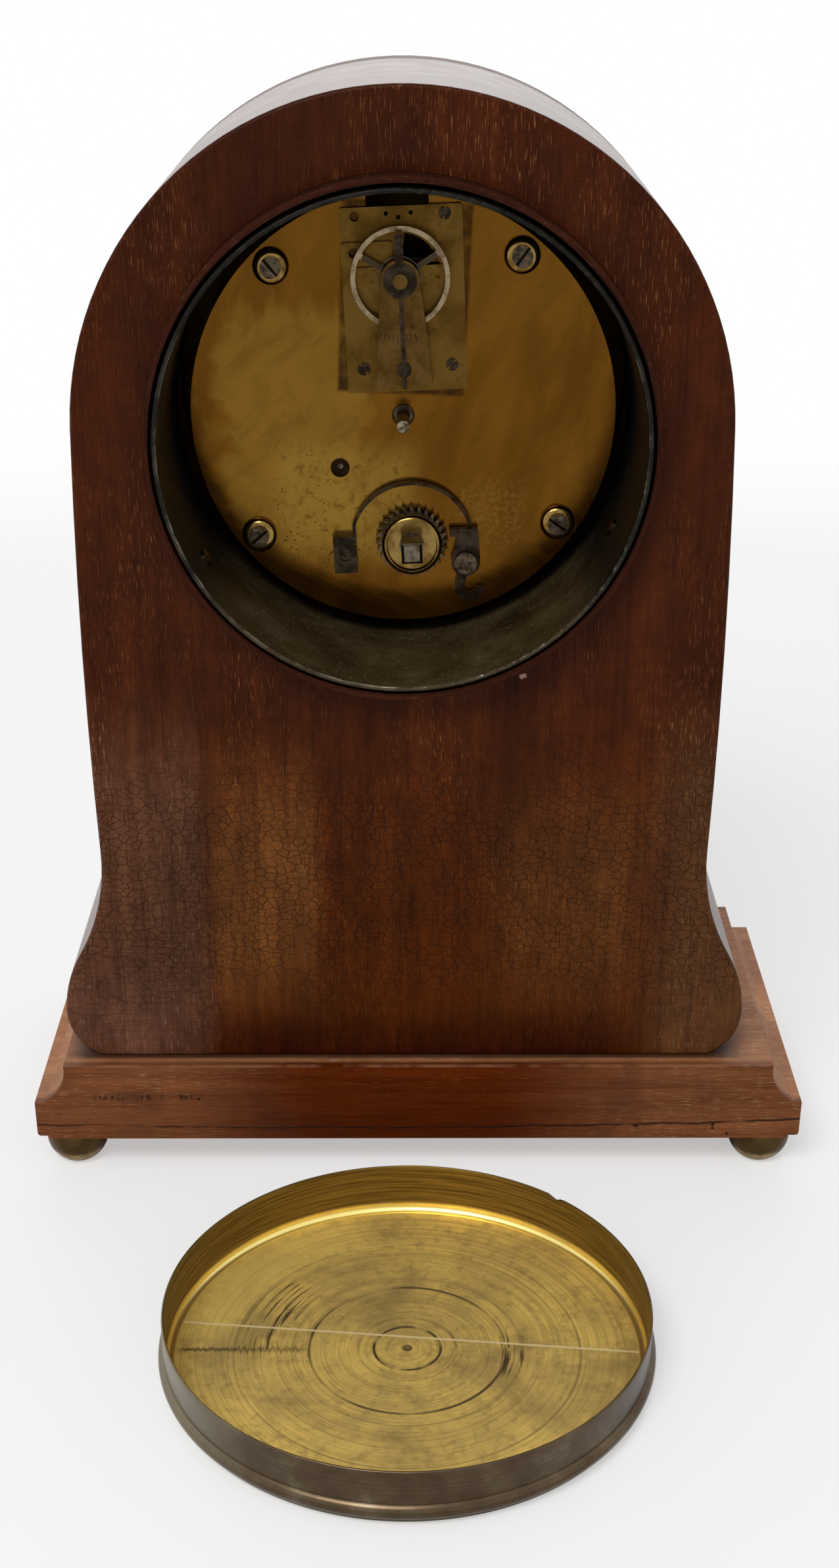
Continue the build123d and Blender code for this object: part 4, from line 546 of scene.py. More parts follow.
def sleeve_brass():
    """Lining painted near black with shade above its lower part, speckled, with a rim worn bright and a
    painted highlight strongest on its lower lip.
    """
    s = Surface("sleeve_brass")
    place = s.where(AXIS)
    _, y, z = s.split(place)
    lip = (sleeve_high.y - AXIS.y) / MM
    bore = (sleeve_high.x - sleeve_low.x) / 2 / MM - SLEEVE_WALL
    cloud = s.noise(place, 0.1, 5.0, 0.65)
    base = s.ramp(cloud, *SLEEVE_TONES)
    bottom = s.step(z, -18, -36)
    base = s.blend(s.step(bottom, 0, 1, 0.95, 0.0), base, SLEEVE_SHADE)
    speck = s.times(s.step(s.noise(place, 1.6, 3.0, 0.6), 0.6, 0.7), s.step(bottom, 0, 1, 0.15, 1))
    base = s.paint(base, SLEEVE_SPECK, speck, share=0.5)
    # Rim worn bright, with a painted highlight that is strong on the lower lip and faint at the top
    rubbed_and_lit = s.step(s.noise(place, 0.16, 4.0, 0.6), 0.44, 0.62, 0.1, 1.0)
    worn = s.times(rubbed_and_lit, s.step(z, 30, -12, 0.25, 1.0))
    rag = s.noise(place, 0.5, 4.0)
    ragged = s.sum(polar(s, place)[1], s.times(rag, 0.3))
    rim = s.step(s.sum(y, s.times(rag, 0.9)), lip + 0.1, lip + 0.45)
    wear_and_highlight = s.times(rim, worn, s.step(ragged, bore + 0.3, bore + 0.48, 1.0, 0.15))
    base = s.blend(wear_and_highlight, base, SLEEVE_WORN_HIGHLIGHT)
    rough = s.sum(s.spread(cloud, 0.42, 0.6), s.times(wear_and_highlight, -0.2))
    return s.set(Base_Color=base, Metallic=s.step(wear_and_highlight, 0, 1), Roughness=rough, Specular_IOR_Level=0.12,
                 Normal=s.bump(s.sum(cloud, s.times(speck, 0.6)), 0.06, 0.5))


FOOT_BRIGHT, FOOT_WORN, FOOT_TOP_SHADE = (0.4, 0.285, 0.11), (0.23, 0.15, 0.05), (0.05, 0.027, 0.0095)
FOOT_LINE, FOOT_SPECK = (0.035, 0.022, 0.01), (0.06, 0.036, 0.014)


def foot_brass():
    """Turned foot: painted shade over its upper part under the plinth, bright brass below, with a dark
    turning line.
    """
    s = Surface("foot_brass")
    place = s.where()
    z = s.split(place)[2]
    cloud = s.noise(place, 0.35, 4.0, 0.6)
    base = s.patches(cloud, FOOT_BRIGHT, FOOT_WORN)
    # Painted shade over the upper part of the foot, tucked under the plinth
    height = s.sum(z, s.times(cloud, 1.2))
    base = s.blend(s.step(height, 2.4, 3.9, 0, 0.9), base, FOOT_TOP_SHADE)
    line = s.band(z, 1.75, 1.95, 0.12)
    base = s.paint(base, FOOT_LINE, line, share=0.7)
    speck = s.step(s.noise(place, 1.1, 3.0, 0.6), 0.58, 0.7)
    base = s.paint(base, FOOT_SPECK, speck, share=0.5)
    relief = s.sum(speck, s.times(line, 3.0))
    return s.set(Base_Color=base, Metallic=1.0, Roughness=s.spread(cloud, 0.2, 0.38),
                 Normal=s.bump(s.less(1.0, relief), 0.03, 0.5))


# Spun cover in millimetres: its wall, face, edges and bead, and the scribed circles with how dark each is
COVER_WALL, COVER_FACE, COVER_EDGE, COVER_BEAD, COVER_BEAD_HEIGHT = 0.5, 0.8, 1.2, 0.95, 3.0
BEAD_RADIUS = (cover_high.x - cover_low.x) / 2 / MM
COVER_SKIRT = BEAD_RADIUS - COVER_BEAD
SCRIBED = ((31.5, 0.3), (20.8, 0.3), (17.9, 0.9), (8.9, 0.4), (6.1, 0.95))
COVER_GOLD = ((0.36, (0.92, 0.665, 0.17)), (0.5, (0.76, 0.545, 0.155)), (0.64, (0.5, 0.355, 0.118)))
COVER_TURNED, COVER_MOTTLE, COVER_PAINTED_GLOW = (0.42, 0.29, 0.09), (0.4, 0.275, 0.085), (0.98, 0.74, 0.19)
COVER_STROKE, COVER_SCRIBE, COVER_MIDDLE = (0.055, 0.037, 0.018), (0.06, 0.04, 0.02), (0.045, 0.03, 0.016)
COVER_ZIGZAG, COVER_SCRATCH, COVER_CORNER_HIGHLIGHT = (0.07, 0.047, 0.022), (0.95, 0.8, 0.45), (0.97, 0.79, 0.27)
WALL_PALE, WALL_DARK = (0.225, 0.138, 0.026), (0.105, 0.06, 0.01)
COVER_PATINA = ((0.3, (0.07, 0.046, 0.026)), (0.55, (0.115, 0.082, 0.05)), (0.75, (0.19, 0.15, 0.102)))
PATINA_DARK, PATINA_PALE = (0.06, 0.038, 0.022), (0.3, 0.265, 0.185)


def cover_inside(s, x, y, z, radius):
    """Bright inside of the cover: mottled gold, turning rings, scribed circles, a scratch, a jagged mark, a
    painted glow and a painted highlight along the inner corner.
    """
    place = s.where(COVER)
    angle = s.calc("ARCTAN2", y, x)
    turn = s.noise(s.join(s.times(radius, 1.5), s.times(angle, 0.25), 0.0), 1.0, 4.0, 0.75)
    blot = s.noise(place, 0.05, 5.0, 0.65, 0.4)
    mottle = s.noise(place, 0.45, 5.0, 0.7)
    gold = s.ramp(blot, *COVER_GOLD)
    gold = s.blend(s.step(turn, 0.44, 0.64, 0, 0.5), gold, COVER_TURNED)
    gold = s.blend(s.step(mottle, 0.46, 0.7, 0, 0.6), gold, COVER_MOTTLE)
    # Painted reflection: a soft bright yellow glow on the far side of the inside face
    reflected_glow = s.times(s.band(radius, 31, 41, 3), s.band(angle, -1.25, -0.15, 0.25))
    gold = s.paint(gold, COVER_PAINTED_GLOW, reflected_glow, share=0.55)
    polar_place = s.join(s.times(radius, 1.7), s.times(angle, 1.6), 0.0)
    strokes = s.step(s.noise(polar_place, 1.0, 3.0, 0.6), 0.52, 0.6)
    left = s.times(s.band(radius, 22, 31, 1.5), s.band(angle, -0.75, 0.06, 0.08))
    right = s.times(s.band(radius, 17.2, 21.4, 0.6), s.step(x, -14, -18), s.band(y, -4, 8, 2))
    faint = s.times(s.band(radius, 4, 36, 3), 0.16)
    dark = s.times(strokes, s.most(s.most(left, right), faint))
    gold = s.paint(gold, COVER_STROKE, dark, share=0.92)
    for ring, share in SCRIBED:
        near = s.step(s.size(s.sum(radius, -ring)), 0.16, 0.36, 1, 0)
        drawn = s.step(s.noise(s.join(angle, ring, 0.0), 1.3, 2.0), 0.34, 0.55, 0.35, 1.0)
        gold = s.paint(gold, COVER_SCRIBE, near, drawn, share=share)
    gold = s.paint(gold, COVER_MIDDLE, s.step(radius, 0.7, 1.1, 1, 0), share=0.8)
    tooth = s.noise(s.join(s.times(x, 1.9), 0.0, 0.0), 1.0, 5.0, 0.85)
    reach = s.times(s.sum(tooth, -0.5), s.step(x, 42, 20, 4.0, 14.0))
    off_zigzag = s.size(s.less(s.sum(y, -0.3), reach))
    zigzag = s.times(s.step(off_zigzag, 0.25, 0.6, 1, 0), s.band(x, 19, 41, 1.0))
    gold = s.paint(gold, COVER_ZIGZAG, zigzag, share=0.8)
    off_scratch = s.size(s.sum(y, s.sum(s.times(x, 0.107), 3.25)))
    scratch = s.times(s.step(off_scratch, 0.14, 0.4, 1, 0), s.step(radius, 41.8, 42.6, 1, 0))
    gold = s.paint(gold, COVER_SCRATCH, scratch, share=0.8)
    streak = s.noise(s.join(s.times(angle, 2.0), s.times(z, 2.2), 0.0), 1.0, 4.0, 0.65)
    gold = s.blend(s.step(z, 1.9, 3.0), gold, s.patches(streak, WALL_PALE, WALL_DARK))
    # Painted highlight: a bright yellow-white ring along the inner corner of the cover
    corner = s.times(s.step(radius, COVER_SKIRT - 2.1, COVER_SKIRT - 1.4), s.step(z, 2.6, 1.8))
    gold = s.paint(gold, COVER_CORNER_HIGHLIGHT, corner, share=0.85)
    height = s.sum(s.times(turn, 0.8), s.times(s.less(mottle, s.sum(dark, zigzag)), 0.4))
    return gold, corner, height


def cover_brass():
    """Spun cover: bright gold inside, grey-brown patina on its outside."""
    s = Surface("cover_brass")
    place = s.where(COVER)
    x, y, z = s.split(place)
    radius = s.length(s.join(x, y, 0.0))
    skirt = s.step(radius, COVER_SKIRT - 0.32, COVER_SKIRT - 0.22)
    outside = s.most(skirt, s.step(z, 0.25, 0.45, 1, 0))
    gold, corner, height = cover_inside(s, x, y, z, radius)
    spun = s.noise(s.join(s.times(z, 2.5), s.times(radius, 2.5), 0.0), 1.0, 3.0)
    grey = s.ramp(s.noise(place, 0.12, 5.0, 0.65), *COVER_PATINA)
    grey = s.blend(s.step(spun, 0.4, 0.7, 0, 0.45), grey, PATINA_DARK)
    grey = s.blend(s.step(x, 22, 42, 0, 0.55), grey, PATINA_PALE)
    smooth = s.most(corner, outside)
    height = s.sum(s.times(spun, outside, 0.5), height)
    return s.set(Base_Color=s.blend(outside, gold, grey), Metallic=s.step(smooth, 0, 1, 0.8, 1.0),
                 Roughness=s.step(smooth, 0, 1, 0.6, 0.3), Normal=s.bump(height, 0.03, 0.5))


ENAMEL_PALE, ENAMEL_AGED = (0.86, 0.84, 0.77), (0.8, 0.77, 0.68)
HAIR_CRACK, DIAL_BACK_SHADE = (0.45, 0.4, 0.32), (0.02, 0.012, 0.008)
INK_BLACK, INK_WORN, GLASS_TINT = (0.012, 0.012, 0.014), (0.035, 0.033, 0.034), (0.97, 0.985, 0.98)


def enamel():
    """White dial with hair cracks; its back is painted near black as shade."""
    s = Surface("enamel")
    cloud = s.noise(s.where(AXIS), 0.05, 4.0)
    base = s.blend(s.step(cloud, 0.35, 0.7), ENAMEL_PALE, ENAMEL_AGED)
    hair = s.step(s.cells(s.where(AXIS, (0.05, 0.05, 0.05)), 1.0), 0.0, 0.006, 1, 0)
    base = s.paint(base, HAIR_CRACK, hair, share=0.25)
    # Painted shade: the back of the dial is near black
    back_shade = s.step(s.split(s.where(Vector((0, (dial_low.y + dial_high.y) / 2, 0))))[1], -0.05, 0.1)
    base = s.blend(back_shade, base, DIAL_BACK_SHADE)
    return s.set(Base_Color=base, Roughness=s.spread(cloud, 0.1, 0.18), Coat_Weight=0.6,
                 Normal=s.bump(cloud, 0.05, 0.2))


def ink():
    s = Surface("dial_ink")
    worn = s.noise(s.where(AXIS), 0.9, 3.0)
    base = s.blend(s.step(worn, 0.5, 0.75), INK_BLACK, INK_WORN)
    return s.set(Base_Color=base, Roughness=s.spread(worn, 0.3, 0.45))


def pane():
    s = Surface("clear_glass")
    smudge = s.noise(s.where(AXIS), 0.06, 4.0, 0.6)
    return s.set(Base_Color=GLASS_TINT, Roughness=s.step(smudge, 0.45, 0.75, 0.0, 0.06),
                 Transmission_Weight=1.0, IOR=1.5)


def dress(material, members):
    """Put a material on the named nodes, and give it back."""
    for member in members.split():
        mesh = nodes[member].data
        mesh.materials.clear()
        mesh.materials.append(material)
    return material


dress(panel_wood("aged_panel", True), "case_back_panel")
dress(panel_wood("front_panel", False), "case_front_panel case_floor")
dress(wrap_wood(), "case_side_wrap")
dress(plinth_wood(), "plinth")
dress(collar_wood(), "hole_collar")
dress(plate_brass(), "back_plate")
dress(sleeve_brass(), "case_sleeve")
dress(foot_brass(), "foot_rear_left foot_rear_right foot_front_left foot_front_right")
dress(balance_metal(), "balance_wheel")
dress(pivot_steel("intermediate_arbor", PIVOT_RADIUS), "intermediate_arbor")
dress(pivot_steel("hand_arbor", HAND_ARBOR_RADIUS), "hand_arbor")
dress(screw_steel(), "plate_screws")
dress(enamel(), "dial")
dress(pane(), "glass")
cover_look = dress(cover_brass(), "back_cover")
ink_look = ink()
# Worn metals: clean, dull and spot colours, roughness from clean to dull, patch scale, spot share and nodes
METALS = {
    "platform_brass": ((0.112, 0.062, 0.0125), (0.08, 0.041, 0.007), (0.02, 0.01, 0.003),
                       (0.3, 0.46), 0.13, 0.5, "platform_plate pallet_bridge"),
    # Brass of the inner movement, painted much darker as shade, since these parts sit deep in the case
    "shaded_inner_brass": ((0.038, 0.021, 0.0048), (0.024, 0.013, 0.003), (0.01, 0.006, 0.002),
                    (0.34, 0.5), 0.1, 0.5,
                    "front_plate lower_bridge escape_cock plate_pillars movement_posts seat_ring"),
    "cock_brass": ((0.096, 0.052, 0.0135), (0.06, 0.031, 0.007), (0.016, 0.008, 0.003),
                   (0.26, 0.42), 0.2, 0.4, "balance_cock"),
    "bright_brass": ((0.24, 0.158, 0.05), (0.12, 0.07, 0.017), (0.03, 0.016, 0.005), (0.12, 0.28), 0.22, 0.4,
                     "ratchet_collar"),
    "collet_brass": ((0.3, 0.19, 0.058), (0.13, 0.074, 0.018), (0.018, 0.01, 0.004), (0.1, 0.24), 0.3, 0.6,
                     "pillar_collets"),
    "bezel_brass": ((0.6, 0.42, 0.15), (0.46, 0.31, 0.1), (0.15, 0.09, 0.03), (0.12, 0.28), 0.06, 0.35,
                    "bezel glass_ring"),
    "wheel_brass": ((0.36, 0.25, 0.09), (0.27, 0.18, 0.06), (0.08, 0.045, 0.014), (0.22, 0.36), 0.15, 0.4,
                    "barrel barrel_cover intermediate_wheel centre_wheel third_wheel fourth_wheel "
                    "minute_wheel hour_wheel"),
    "train_steel": ((0.09, 0.068, 0.044), (0.036, 0.025, 0.016), (0.01, 0.006, 0.004), (0.12, 0.3), 0.5, 0.5,
                    "plinth_screws sleeve_pins seat_ring_screws centre_pinion third_arbor fourth_arbor "
                    "escape_wheel lever ratchet_wheel"),
    "bright_steel": ((0.15, 0.12, 0.082), (0.06, 0.044, 0.028), (0.018, 0.012, 0.008), (0.14, 0.32), 0.4, 0.5,
                     "barrel_arbor hand_nut"),
    "dark_steel": ((0.04, 0.028, 0.018), (0.016, 0.011, 0.007), (0.006, 0.004, 0.003),
                   (0.24, 0.44), 0.35, 0.5,
                   "click click_spring spring_block regulator_index platform_screws"),
    "blued_steel": ((0.02, 0.03, 0.095), (0.03, 0.035, 0.085), (0.008, 0.008, 0.014), (0.14, 0.26), 0.12, 0.3,
                    "hour_hand minute_hand"),
    "spring_steel": ((0.105, 0.09, 0.075), (0.06, 0.05, 0.042), (0.016, 0.012, 0.01), (0.2, 0.36), 0.5, 0.4,
                     "mainspring hairspring"),
}
metals = {}
for name, (*values, members) in METALS.items():
    metals[name] = dress(metal(name, *values), members)


# Pieces modelled here
def add_piece(name, points, faces, body, material, sharp=35.0):
    """Mesh piece in the model's frame, riding on a body."""
    mesh = bpy.data.meshes.new(name)
    mesh.from_pydata(points, [], faces)
    mesh.materials.append(material)
    mesh.shade_smooth()
    mesh.set_sharp_from_angle(angle=math.radians(sharp))
    piece = bpy.data.objects.new(name, mesh)
    bpy.context.scene.collection.objects.link(piece)
    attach(piece, body)
    return piece


def sweep(rows, closed):
    """Faces between rows of points of equal length, each row a closed loop."""
    count = len(rows[0])
    faces = []
    for i in range(len(rows) if closed else len(rows) - 1):
        a, b = i * count, (i + 1) % len(rows) * count
        faces += [(a + j, a + (j + 1) % count, b + (j + 1) % count, b + j) for j in range(count)]
    if not closed:
        last = (len(rows) - 1) * count
        faces += [tuple(range(count - 1, -1, -1)), tuple(last + j for j in range(count))]
    return [point for row in rows for point in row], faces


STEPS_PER_TURN, FLARE_TURNS = 72, 0.25


def spiral_strip(name, node, centre, spring, flared, body):
    """Wound flat strip from its inner end outwards; a flared one ends at the side of its node's box."""
    inner, step, turns, thickness, start = spring
    low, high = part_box(node)
    outer = inner + step * turns
    end_radius = (centre.x - low.x) / MM - thickness if flared else outer
    rows = []
    for i in range(turns * STEPS_PER_TURN + 1):
        share = i / STEPS_PER_TURN
        angle = 2 * math.pi * share + math.radians(start) + MOVEMENT_TURN
        radius = inner + step * share
        flare = max(0.0, (share - turns + FLARE_TURNS) / FLARE_TURNS)
        radius += (end_radius - outer) * flare ** 2
        row = []
        for offset, y in ((-0.5, low.y), (0.5, low.y), (0.5, high.y), (-0.5, high.y)):
            r = (radius + offset * thickness) * MM
            row.append((centre.x - r * math.cos(angle), y, centre.z + r * math.sin(angle)))
        rows.append(row)
    piece = add_piece(name, *sweep(rows, False), body, metals["spring_steel"])
    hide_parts(node)


# Springs: inner radius, step per turn, turns and thickness in millimetres, and the angle of both ends
HAIRSPRING, MAINSPRING = (1.9, 0.57, 4, 0.12, -90.0), (5.0, 0.9, 8, 0.4, 0.0)
spiral_strip("hairspring_coil", "hairspring", middle("balance_wheel"), HAIRSPRING, False, "case")
spiral_strip("mainspring_coil", "mainspring", middle("barrel_arbor"), MAINSPRING, True, "barrel")

# Marks of the spun cover, its nick and the points along its profile, in millimetres and degrees
SCRIBE_WIDTH, SCRIBE_DEPTH = 0.15, 0.05
CENTRE_MARK_RADIUS, CENTRE_MARK_DEPTH = 0.5, 0.2
NICK_ANGLE, NICK_HALF_WIDTH, NICK_DEPTH = -131.0, 2.2, 0.9
COVER_SEGMENTS, COVER_SHARP = 288, 14.0
EDGE_STEPS, BEAD_STEPS, LIP_STEPS = 12, 16, 20
MIDDLE_RADIUS = 0.05
UNDERSIDE_RADII = (MIDDLE_RADIUS, 12.0, 24.0, 36.0)
OUTER_WALL_SHARES, INNER_WALL_SHARES = (0.5, 0.65, 0.8), (0.8, 0.6, 0.4)


def arc(centre, radius, start, end, steps):
    """Points of a round stretch in the profile plane, angles in degrees."""
    angles = [math.radians(start + (end - start) * i / steps) for i in range(steps + 1)]
    return [(centre[0] + radius * math.cos(a), centre[1] + radius * math.sin(a)) for a in angles]


def cover_profile():
    """Half section of the cover from the middle of its underside round to the middle of its inside."""
    height = (cover_high.z - cover_low.z) / MM
    inner = COVER_SKIRT - COVER_WALL
    bead_rise = COVER_BEAD_HEIGHT / 2
    bead_round = (bead_rise ** 2 + COVER_BEAD ** 2) / (2 * COVER_BEAD)
    bead_angle = math.degrees(math.asin(bead_rise / bead_round))
    bead_middle = (BEAD_RADIUS - bead_round, COVER_EDGE + bead_rise)
    lip = (COVER_SKIRT - COVER_WALL / 2, height - COVER_WALL / 2)
    profile = [(radius, 0.0) for radius in UNDERSIDE_RADII]
    profile += arc((COVER_SKIRT - COVER_EDGE, COVER_EDGE), COVER_EDGE, -90, 0, EDGE_STEPS)
    profile += arc(bead_middle, bead_round, -bead_angle, bead_angle, BEAD_STEPS)[1:]
    profile += [(COVER_SKIRT, height * share) for share in OUTER_WALL_SHARES]
    profile += arc(lip, COVER_WALL / 2, 0, 180, LIP_STEPS)
    profile += [(inner, height * share) for share in INNER_WALL_SHARES]
    profile += arc((inner - COVER_EDGE, COVER_FACE + COVER_EDGE), COVER_EDGE, 0, -90, EDGE_STEPS)
    for radius, _ in SCRIBED:
        profile += [(radius + SCRIBE_WIDTH, COVER_FACE), (radius, COVER_FACE - SCRIBE_DEPTH),
                    (radius - SCRIBE_WIDTH, COVER_FACE)]
    profile += [(CENTRE_MARK_RADIUS, COVER_FACE), (MIDDLE_RADIUS, COVER_FACE - CENTRE_MARK_DEPTH)]
    return profile, height


def spun_cover():
    profile, height = cover_profile()
    columns = []
    for i in range(COVER_SEGMENTS):
        angle = 2 * math.pi * i / COVER_SEGMENTS
        off = math.degrees(angle) - NICK_ANGLE % 360
        bite = NICK_DEPTH * max(0.0, 1 - abs(off) / NICK_HALF_WIDTH)
        columns.append([(COVER.x + r * MM * math.cos(angle), COVER.y + r * MM * math.sin(angle),
                         cover_low.z + min(z, height - bite) * MM) for r, z in profile])
    points, faces = sweep(columns, True)
    count = len(profile)
    faces = [face for face in faces if abs(face[0] % count - face[1] % count) == 1]
    faces += [tuple(i * count for i in range(COVER_SEGMENTS - 1, -1, -1)),
              tuple(i * count + count - 1 for i in range(COVER_SEGMENTS))]
    piece = add_piece("spun_cover", points, faces, "back_cover", cover_look, COVER_SHARP)
    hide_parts("back_cover")


spun_cover()

# Hour numerals and minute track on the dial, in millimetres
NUMERALS = ("XII", "I", "II", "III", "IIII", "V", "VI", "VII", "VIII", "IX", "X", "XI")
NUMERAL_HEIGHT, NUMERAL_SHARE, NUMERAL_GAP = 7.6, 0.745, 0.55
STROKE, HAIRLINE, SERIF, SERIF_HALF = 1.0, 0.34, 0.28, 0.85
LETTER_WIDTHS = {"I": 1.7, "V": 4.4, "X": 4.6}
INK_RISE = 0.04
TRACK_SHARES, TRACK_LINE = (0.9, 0.935), 0.16
HOUR_TICK_HALF, MINUTE_TICK_HALF = 0.35, 0.12


def prism(outline, y_low, y_high):
    """Points and faces of a flat piece with the given outline of X and Z."""
    count = len(outline)
    points = [(x, y, z) for y in (y_low, y_high) for x, z in outline]
    faces = [tuple(range(count)), tuple(range(2 * count - 1, count - 1, -1))]
    faces += [(i, i + count, (i + 1) % count + count, (i + 1) % count) for i in range(count)]
    return points, faces


def prisms(outlines, face, rise):
    """Points and faces of flat pieces that stand rise millimetres above and below the level of a face."""
    points, faces = [], []
    for outline in outlines:
        some, more = prism(outline, face - rise * MM, face + rise * MM)
        faces += [tuple(index + len(points) for index in corners) for corners in more]
        points += some
    return points, faces


def letter_strokes(letter, start):
    """Four-cornered strokes of one letter that starts at start, with its foot at zero."""
    width, top = LETTER_WIDTHS[letter], NUMERAL_HEIGHT
    centre, left, right = start + width / 2, start + SERIF_HALF, start + width - SERIF_HALF

    def slant(foot, head, weight):
        half = weight / 2
        return [(foot - half, 0), (foot + half, 0), (head + half, top), (head - half, top)]

    def serif(place, low):
        near, far = place - SERIF_HALF, place + SERIF_HALF
        return [(near, low), (far, low), (far, low + SERIF), (near, low + SERIF)]

    if letter == "I":
        return [slant(centre, centre, STROKE), serif(centre, 0), serif(centre, top - SERIF)]
    if letter == "V":
        return [slant(centre, left, STROKE), slant(centre, right, HAIRLINE), serif(left, top - SERIF),
                serif(right, top - SERIF)]
    return [slant(right, left, STROKE), slant(left, right, HAIRLINE), serif(left, 0), serif(right, 0),
            serif(left, top - SERIF), serif(right, top - SERIF)]


def dial_marks():
    centre = Vector((AXIS.x, dial_low.y, AXIS.z))
    radius = (dial_high.x - dial_low.x) / 2 / MM
    shapes = []

    def place(outline, turn, out):
        """Outline moved outward by out millimetres and turned clockwise as seen from the front."""
        turned = []
        for across, up in outline:
            up += out
            turned.append((centre.x + (across * math.cos(turn) + up * math.sin(turn)) * MM,
                           centre.z + (up * math.cos(turn) - across * math.sin(turn)) * MM))
        shapes.append(turned)

    for hour, word in enumerate(NUMERALS):
        width = sum(LETTER_WIDTHS[c] for c in word) + NUMERAL_GAP * (len(word) - 1)
        left = -width / 2
        for letter in word:
            for stroke in letter_strokes(letter, left):
                place(stroke, hour * math.pi / 6, NUMERAL_SHARE * radius - NUMERAL_HEIGHT / 2)
            left += LETTER_WIDTHS[letter] + NUMERAL_GAP
    inner, outer = (share * radius for share in TRACK_SHARES)
    for minute in range(60):
        half = HOUR_TICK_HALF if minute % 5 == 0 else MINUTE_TICK_HALF
        tick = [(-half, 0), (half, 0), (half, outer - inner), (-half, outer - inner)]
        place(tick, minute * math.pi / 30, inner)
    half_step = math.pi / 60
    for ring in (inner, outer):
        for minute in range(60):
            line = [(side * r * math.sin(half_step), r * math.cos(half_step))
                    for r, side in ((ring, -1), (ring, 1), (ring + TRACK_LINE, 1), (ring + TRACK_LINE, -1))]
            place(line, minute * math.pi / 30, 0.0)
    add_piece("dial_numerals", *prisms(shapes, centre.y, INK_RISE), "case", ink_look)


dial_marks()

# Regulating scale on the balance cock, in millimetres and degrees
SCALE_RADIUS, SCALE_TICKS, SCALE_STEP, LONG_EVERY = 9.4, 9, 4.6, 4
TICK_LENGTH, TICK_LONG, TICK_WIDTH, TICK_RISE = 1.0, 1.6, 0.16, 0.03
COCK_BOSS_HEIGHT = 0.9


def cock_scale():
    centre = middle("balance_wheel")
    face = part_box("balance_cock")[1].y - COCK_BOSS_HEIGHT * MM
    outlines = []
    for i in range(SCALE_TICKS):
        step = i - (SCALE_TICKS - 1) / 2
        angle = math.radians(step * SCALE_STEP) + MOVEMENT_TURN
        length = TICK_LONG if step % LONG_EVERY == 0 else TICK_LENGTH
        out = Vector((math.sin(angle), 0, -math.cos(angle)))
        side = Vector((math.cos(angle), 0, math.sin(angle)))
        outline = []
        for across, along in ((-0.5, 0), (0.5, 0), (0.5, length), (-0.5, length)):
            spot = centre + (out * (SCALE_RADIUS + along) + side * (across * TICK_WIDTH)) * MM
            outline.append((spot.x, spot.z))
        outlines.append(outline)
    piece = add_piece("cock_scale", *prisms(outlines, face, TICK_RISE), "case", metals["dark_steel"])


cock_scale()


# Stage: floor, light and camera
def stage_plane(name, size, place):
    mesh = bpy.data.meshes.new(name)
    half = size / 2
    corners = [(-half, -half, 0), (half, -half, 0), (half, half, 0), (-half, half, 0)]
    mesh.from_pydata(corners, [], [(0, 1, 2, 3)])
    piece = bpy.data.objects.new(name, mesh)
    piece.location = place
    bpy.context.scene.collection.objects.link(piece)
    return piece


# Floor's side and drop in metres; its paper glows a little to the camera, and fully past the far radius
FLOOR_SIZE, FLOOR_DROP = 6.0, 0.0002
FLOOR_COLOUR, FLOOR_NEAR, FLOOR_FAR, FLOOR_LIFT = (0.94, 0.94, 0.94), 250.0, 700.0, 0.45
floor = stage_plane("studio_floor", FLOOR_SIZE, (0, 0, -FLOOR_DROP))
paper = Surface("studio_paper")
paper.set(Base_Color=FLOOR_COLOUR, Roughness=0.9, Specular_IOR_Level=0.1)
glow = paper.add("ShaderNodeEmission", {"Color": (1, 1, 1, 1), "Strength": 1.0})
sight = paper.add("ShaderNodeLightPath").outputs["Is Camera Ray"]
fade = paper.step(paper.length(paper.where()), FLOOR_NEAR, FLOOR_FAR)
lift = paper.most(paper.times(sight, FLOOR_LIFT), fade)
both = paper.add("ShaderNodeMixShader", {0: lift, 1: paper.shader.outputs[0], 2: glow.outputs[0]})
paper.put(paper.tree.nodes["Material Output"].inputs["Surface"], both.outputs[0])
floor.data.materials.append(paper.material)

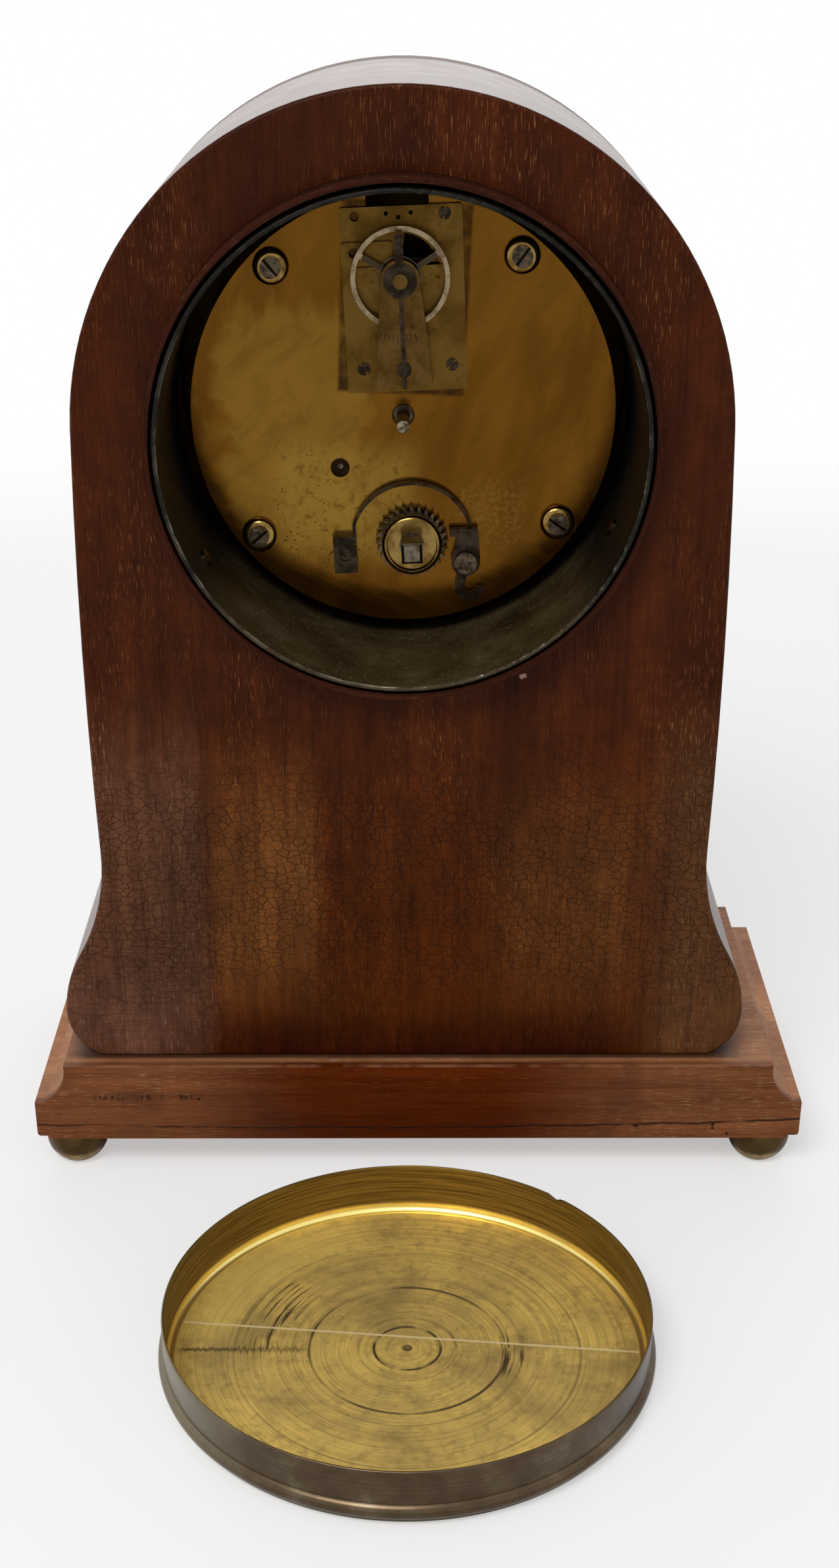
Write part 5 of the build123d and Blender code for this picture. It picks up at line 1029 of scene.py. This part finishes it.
# Sky: full strength to the camera, in mirrors and through glass, less as light on dull surfaces
SKY_SEEN, SKY_LIGHT = 1.0, 0.46
world = bpy.data.worlds.new("studio")
world.use_nodes = True
bpy.context.scene.world = world
tree = world.node_tree
rays = tree.nodes.new("ShaderNodeLightPath").outputs
seen = rays["Is Camera Ray"]
for kind in ("Is Glossy Ray", "Is Transmission Ray"):
    either = tree.nodes.new("ShaderNodeMath")
    either.operation = "MAXIMUM"
    tree.links.new(seen, either.inputs[0])
    tree.links.new(rays[kind], either.inputs[1])
    seen = either.outputs[0]
strength = tree.nodes.new("ShaderNodeMapRange")
strength.inputs["To Min"].default_value = SKY_LIGHT
strength.inputs["To Max"].default_value = SKY_SEEN
tree.links.new(seen, strength.inputs["Value"])
background = tree.nodes["Background"]
tree.links.new(strength.outputs[0], background.inputs["Strength"])
background.inputs["Color"].default_value = (1, 1, 1, 1)


def softbox(name, place, aim, size, power):
    lamp = bpy.data.lights.new(name, "AREA")
    lamp.shape = "RECTANGLE"
    lamp.size, lamp.size_y = size
    lamp.energy = power
    piece = bpy.data.objects.new(name, lamp)
    piece.location = place
    piece.rotation_euler = (Vector(aim) - Vector(place)).to_track_quat("-Z", "Y").to_euler()
    piece.visible_camera = False
    bpy.context.scene.collection.objects.link(piece)


softbox("key", place=(0.3, 0.7, 1.0), aim=(0, -0.03, 0.1), size=(0.6, 0.45), power=8.0)
softbox("rear", place=(0.0, -0.9, 0.6), aim=(0, -0.05, 0.12), size=(1.1, 0.5), power=2.4)

CAMERA_PLACE = (1.154 * MM, 337.79 * MM, 237.347 * MM)
PITCH, YAW, ROLL = math.radians(28.23), math.radians(-0.22), math.radians(0.05)
camera = bpy.data.cameras.new("camera")
camera.sensor_width = 36.0
camera.lens = 46.41
camera.shift_y = 0.113
camera.clip_start = 0.01
viewer = bpy.data.objects.new("camera", camera)
bpy.context.scene.collection.objects.link(viewer)
viewer.location = CAMERA_PLACE
aimed = Matrix.Rotation(math.pi + YAW, 4, "Z") @ Matrix.Rotation(math.pi / 2 - PITCH, 4, "X")
viewer.rotation_euler = (aimed @ Matrix.Rotation(ROLL, 4, "Z")).to_euler()
bpy.context.scene.camera = viewer
bpy.context.scene.view_settings.view_transform = "Standard"
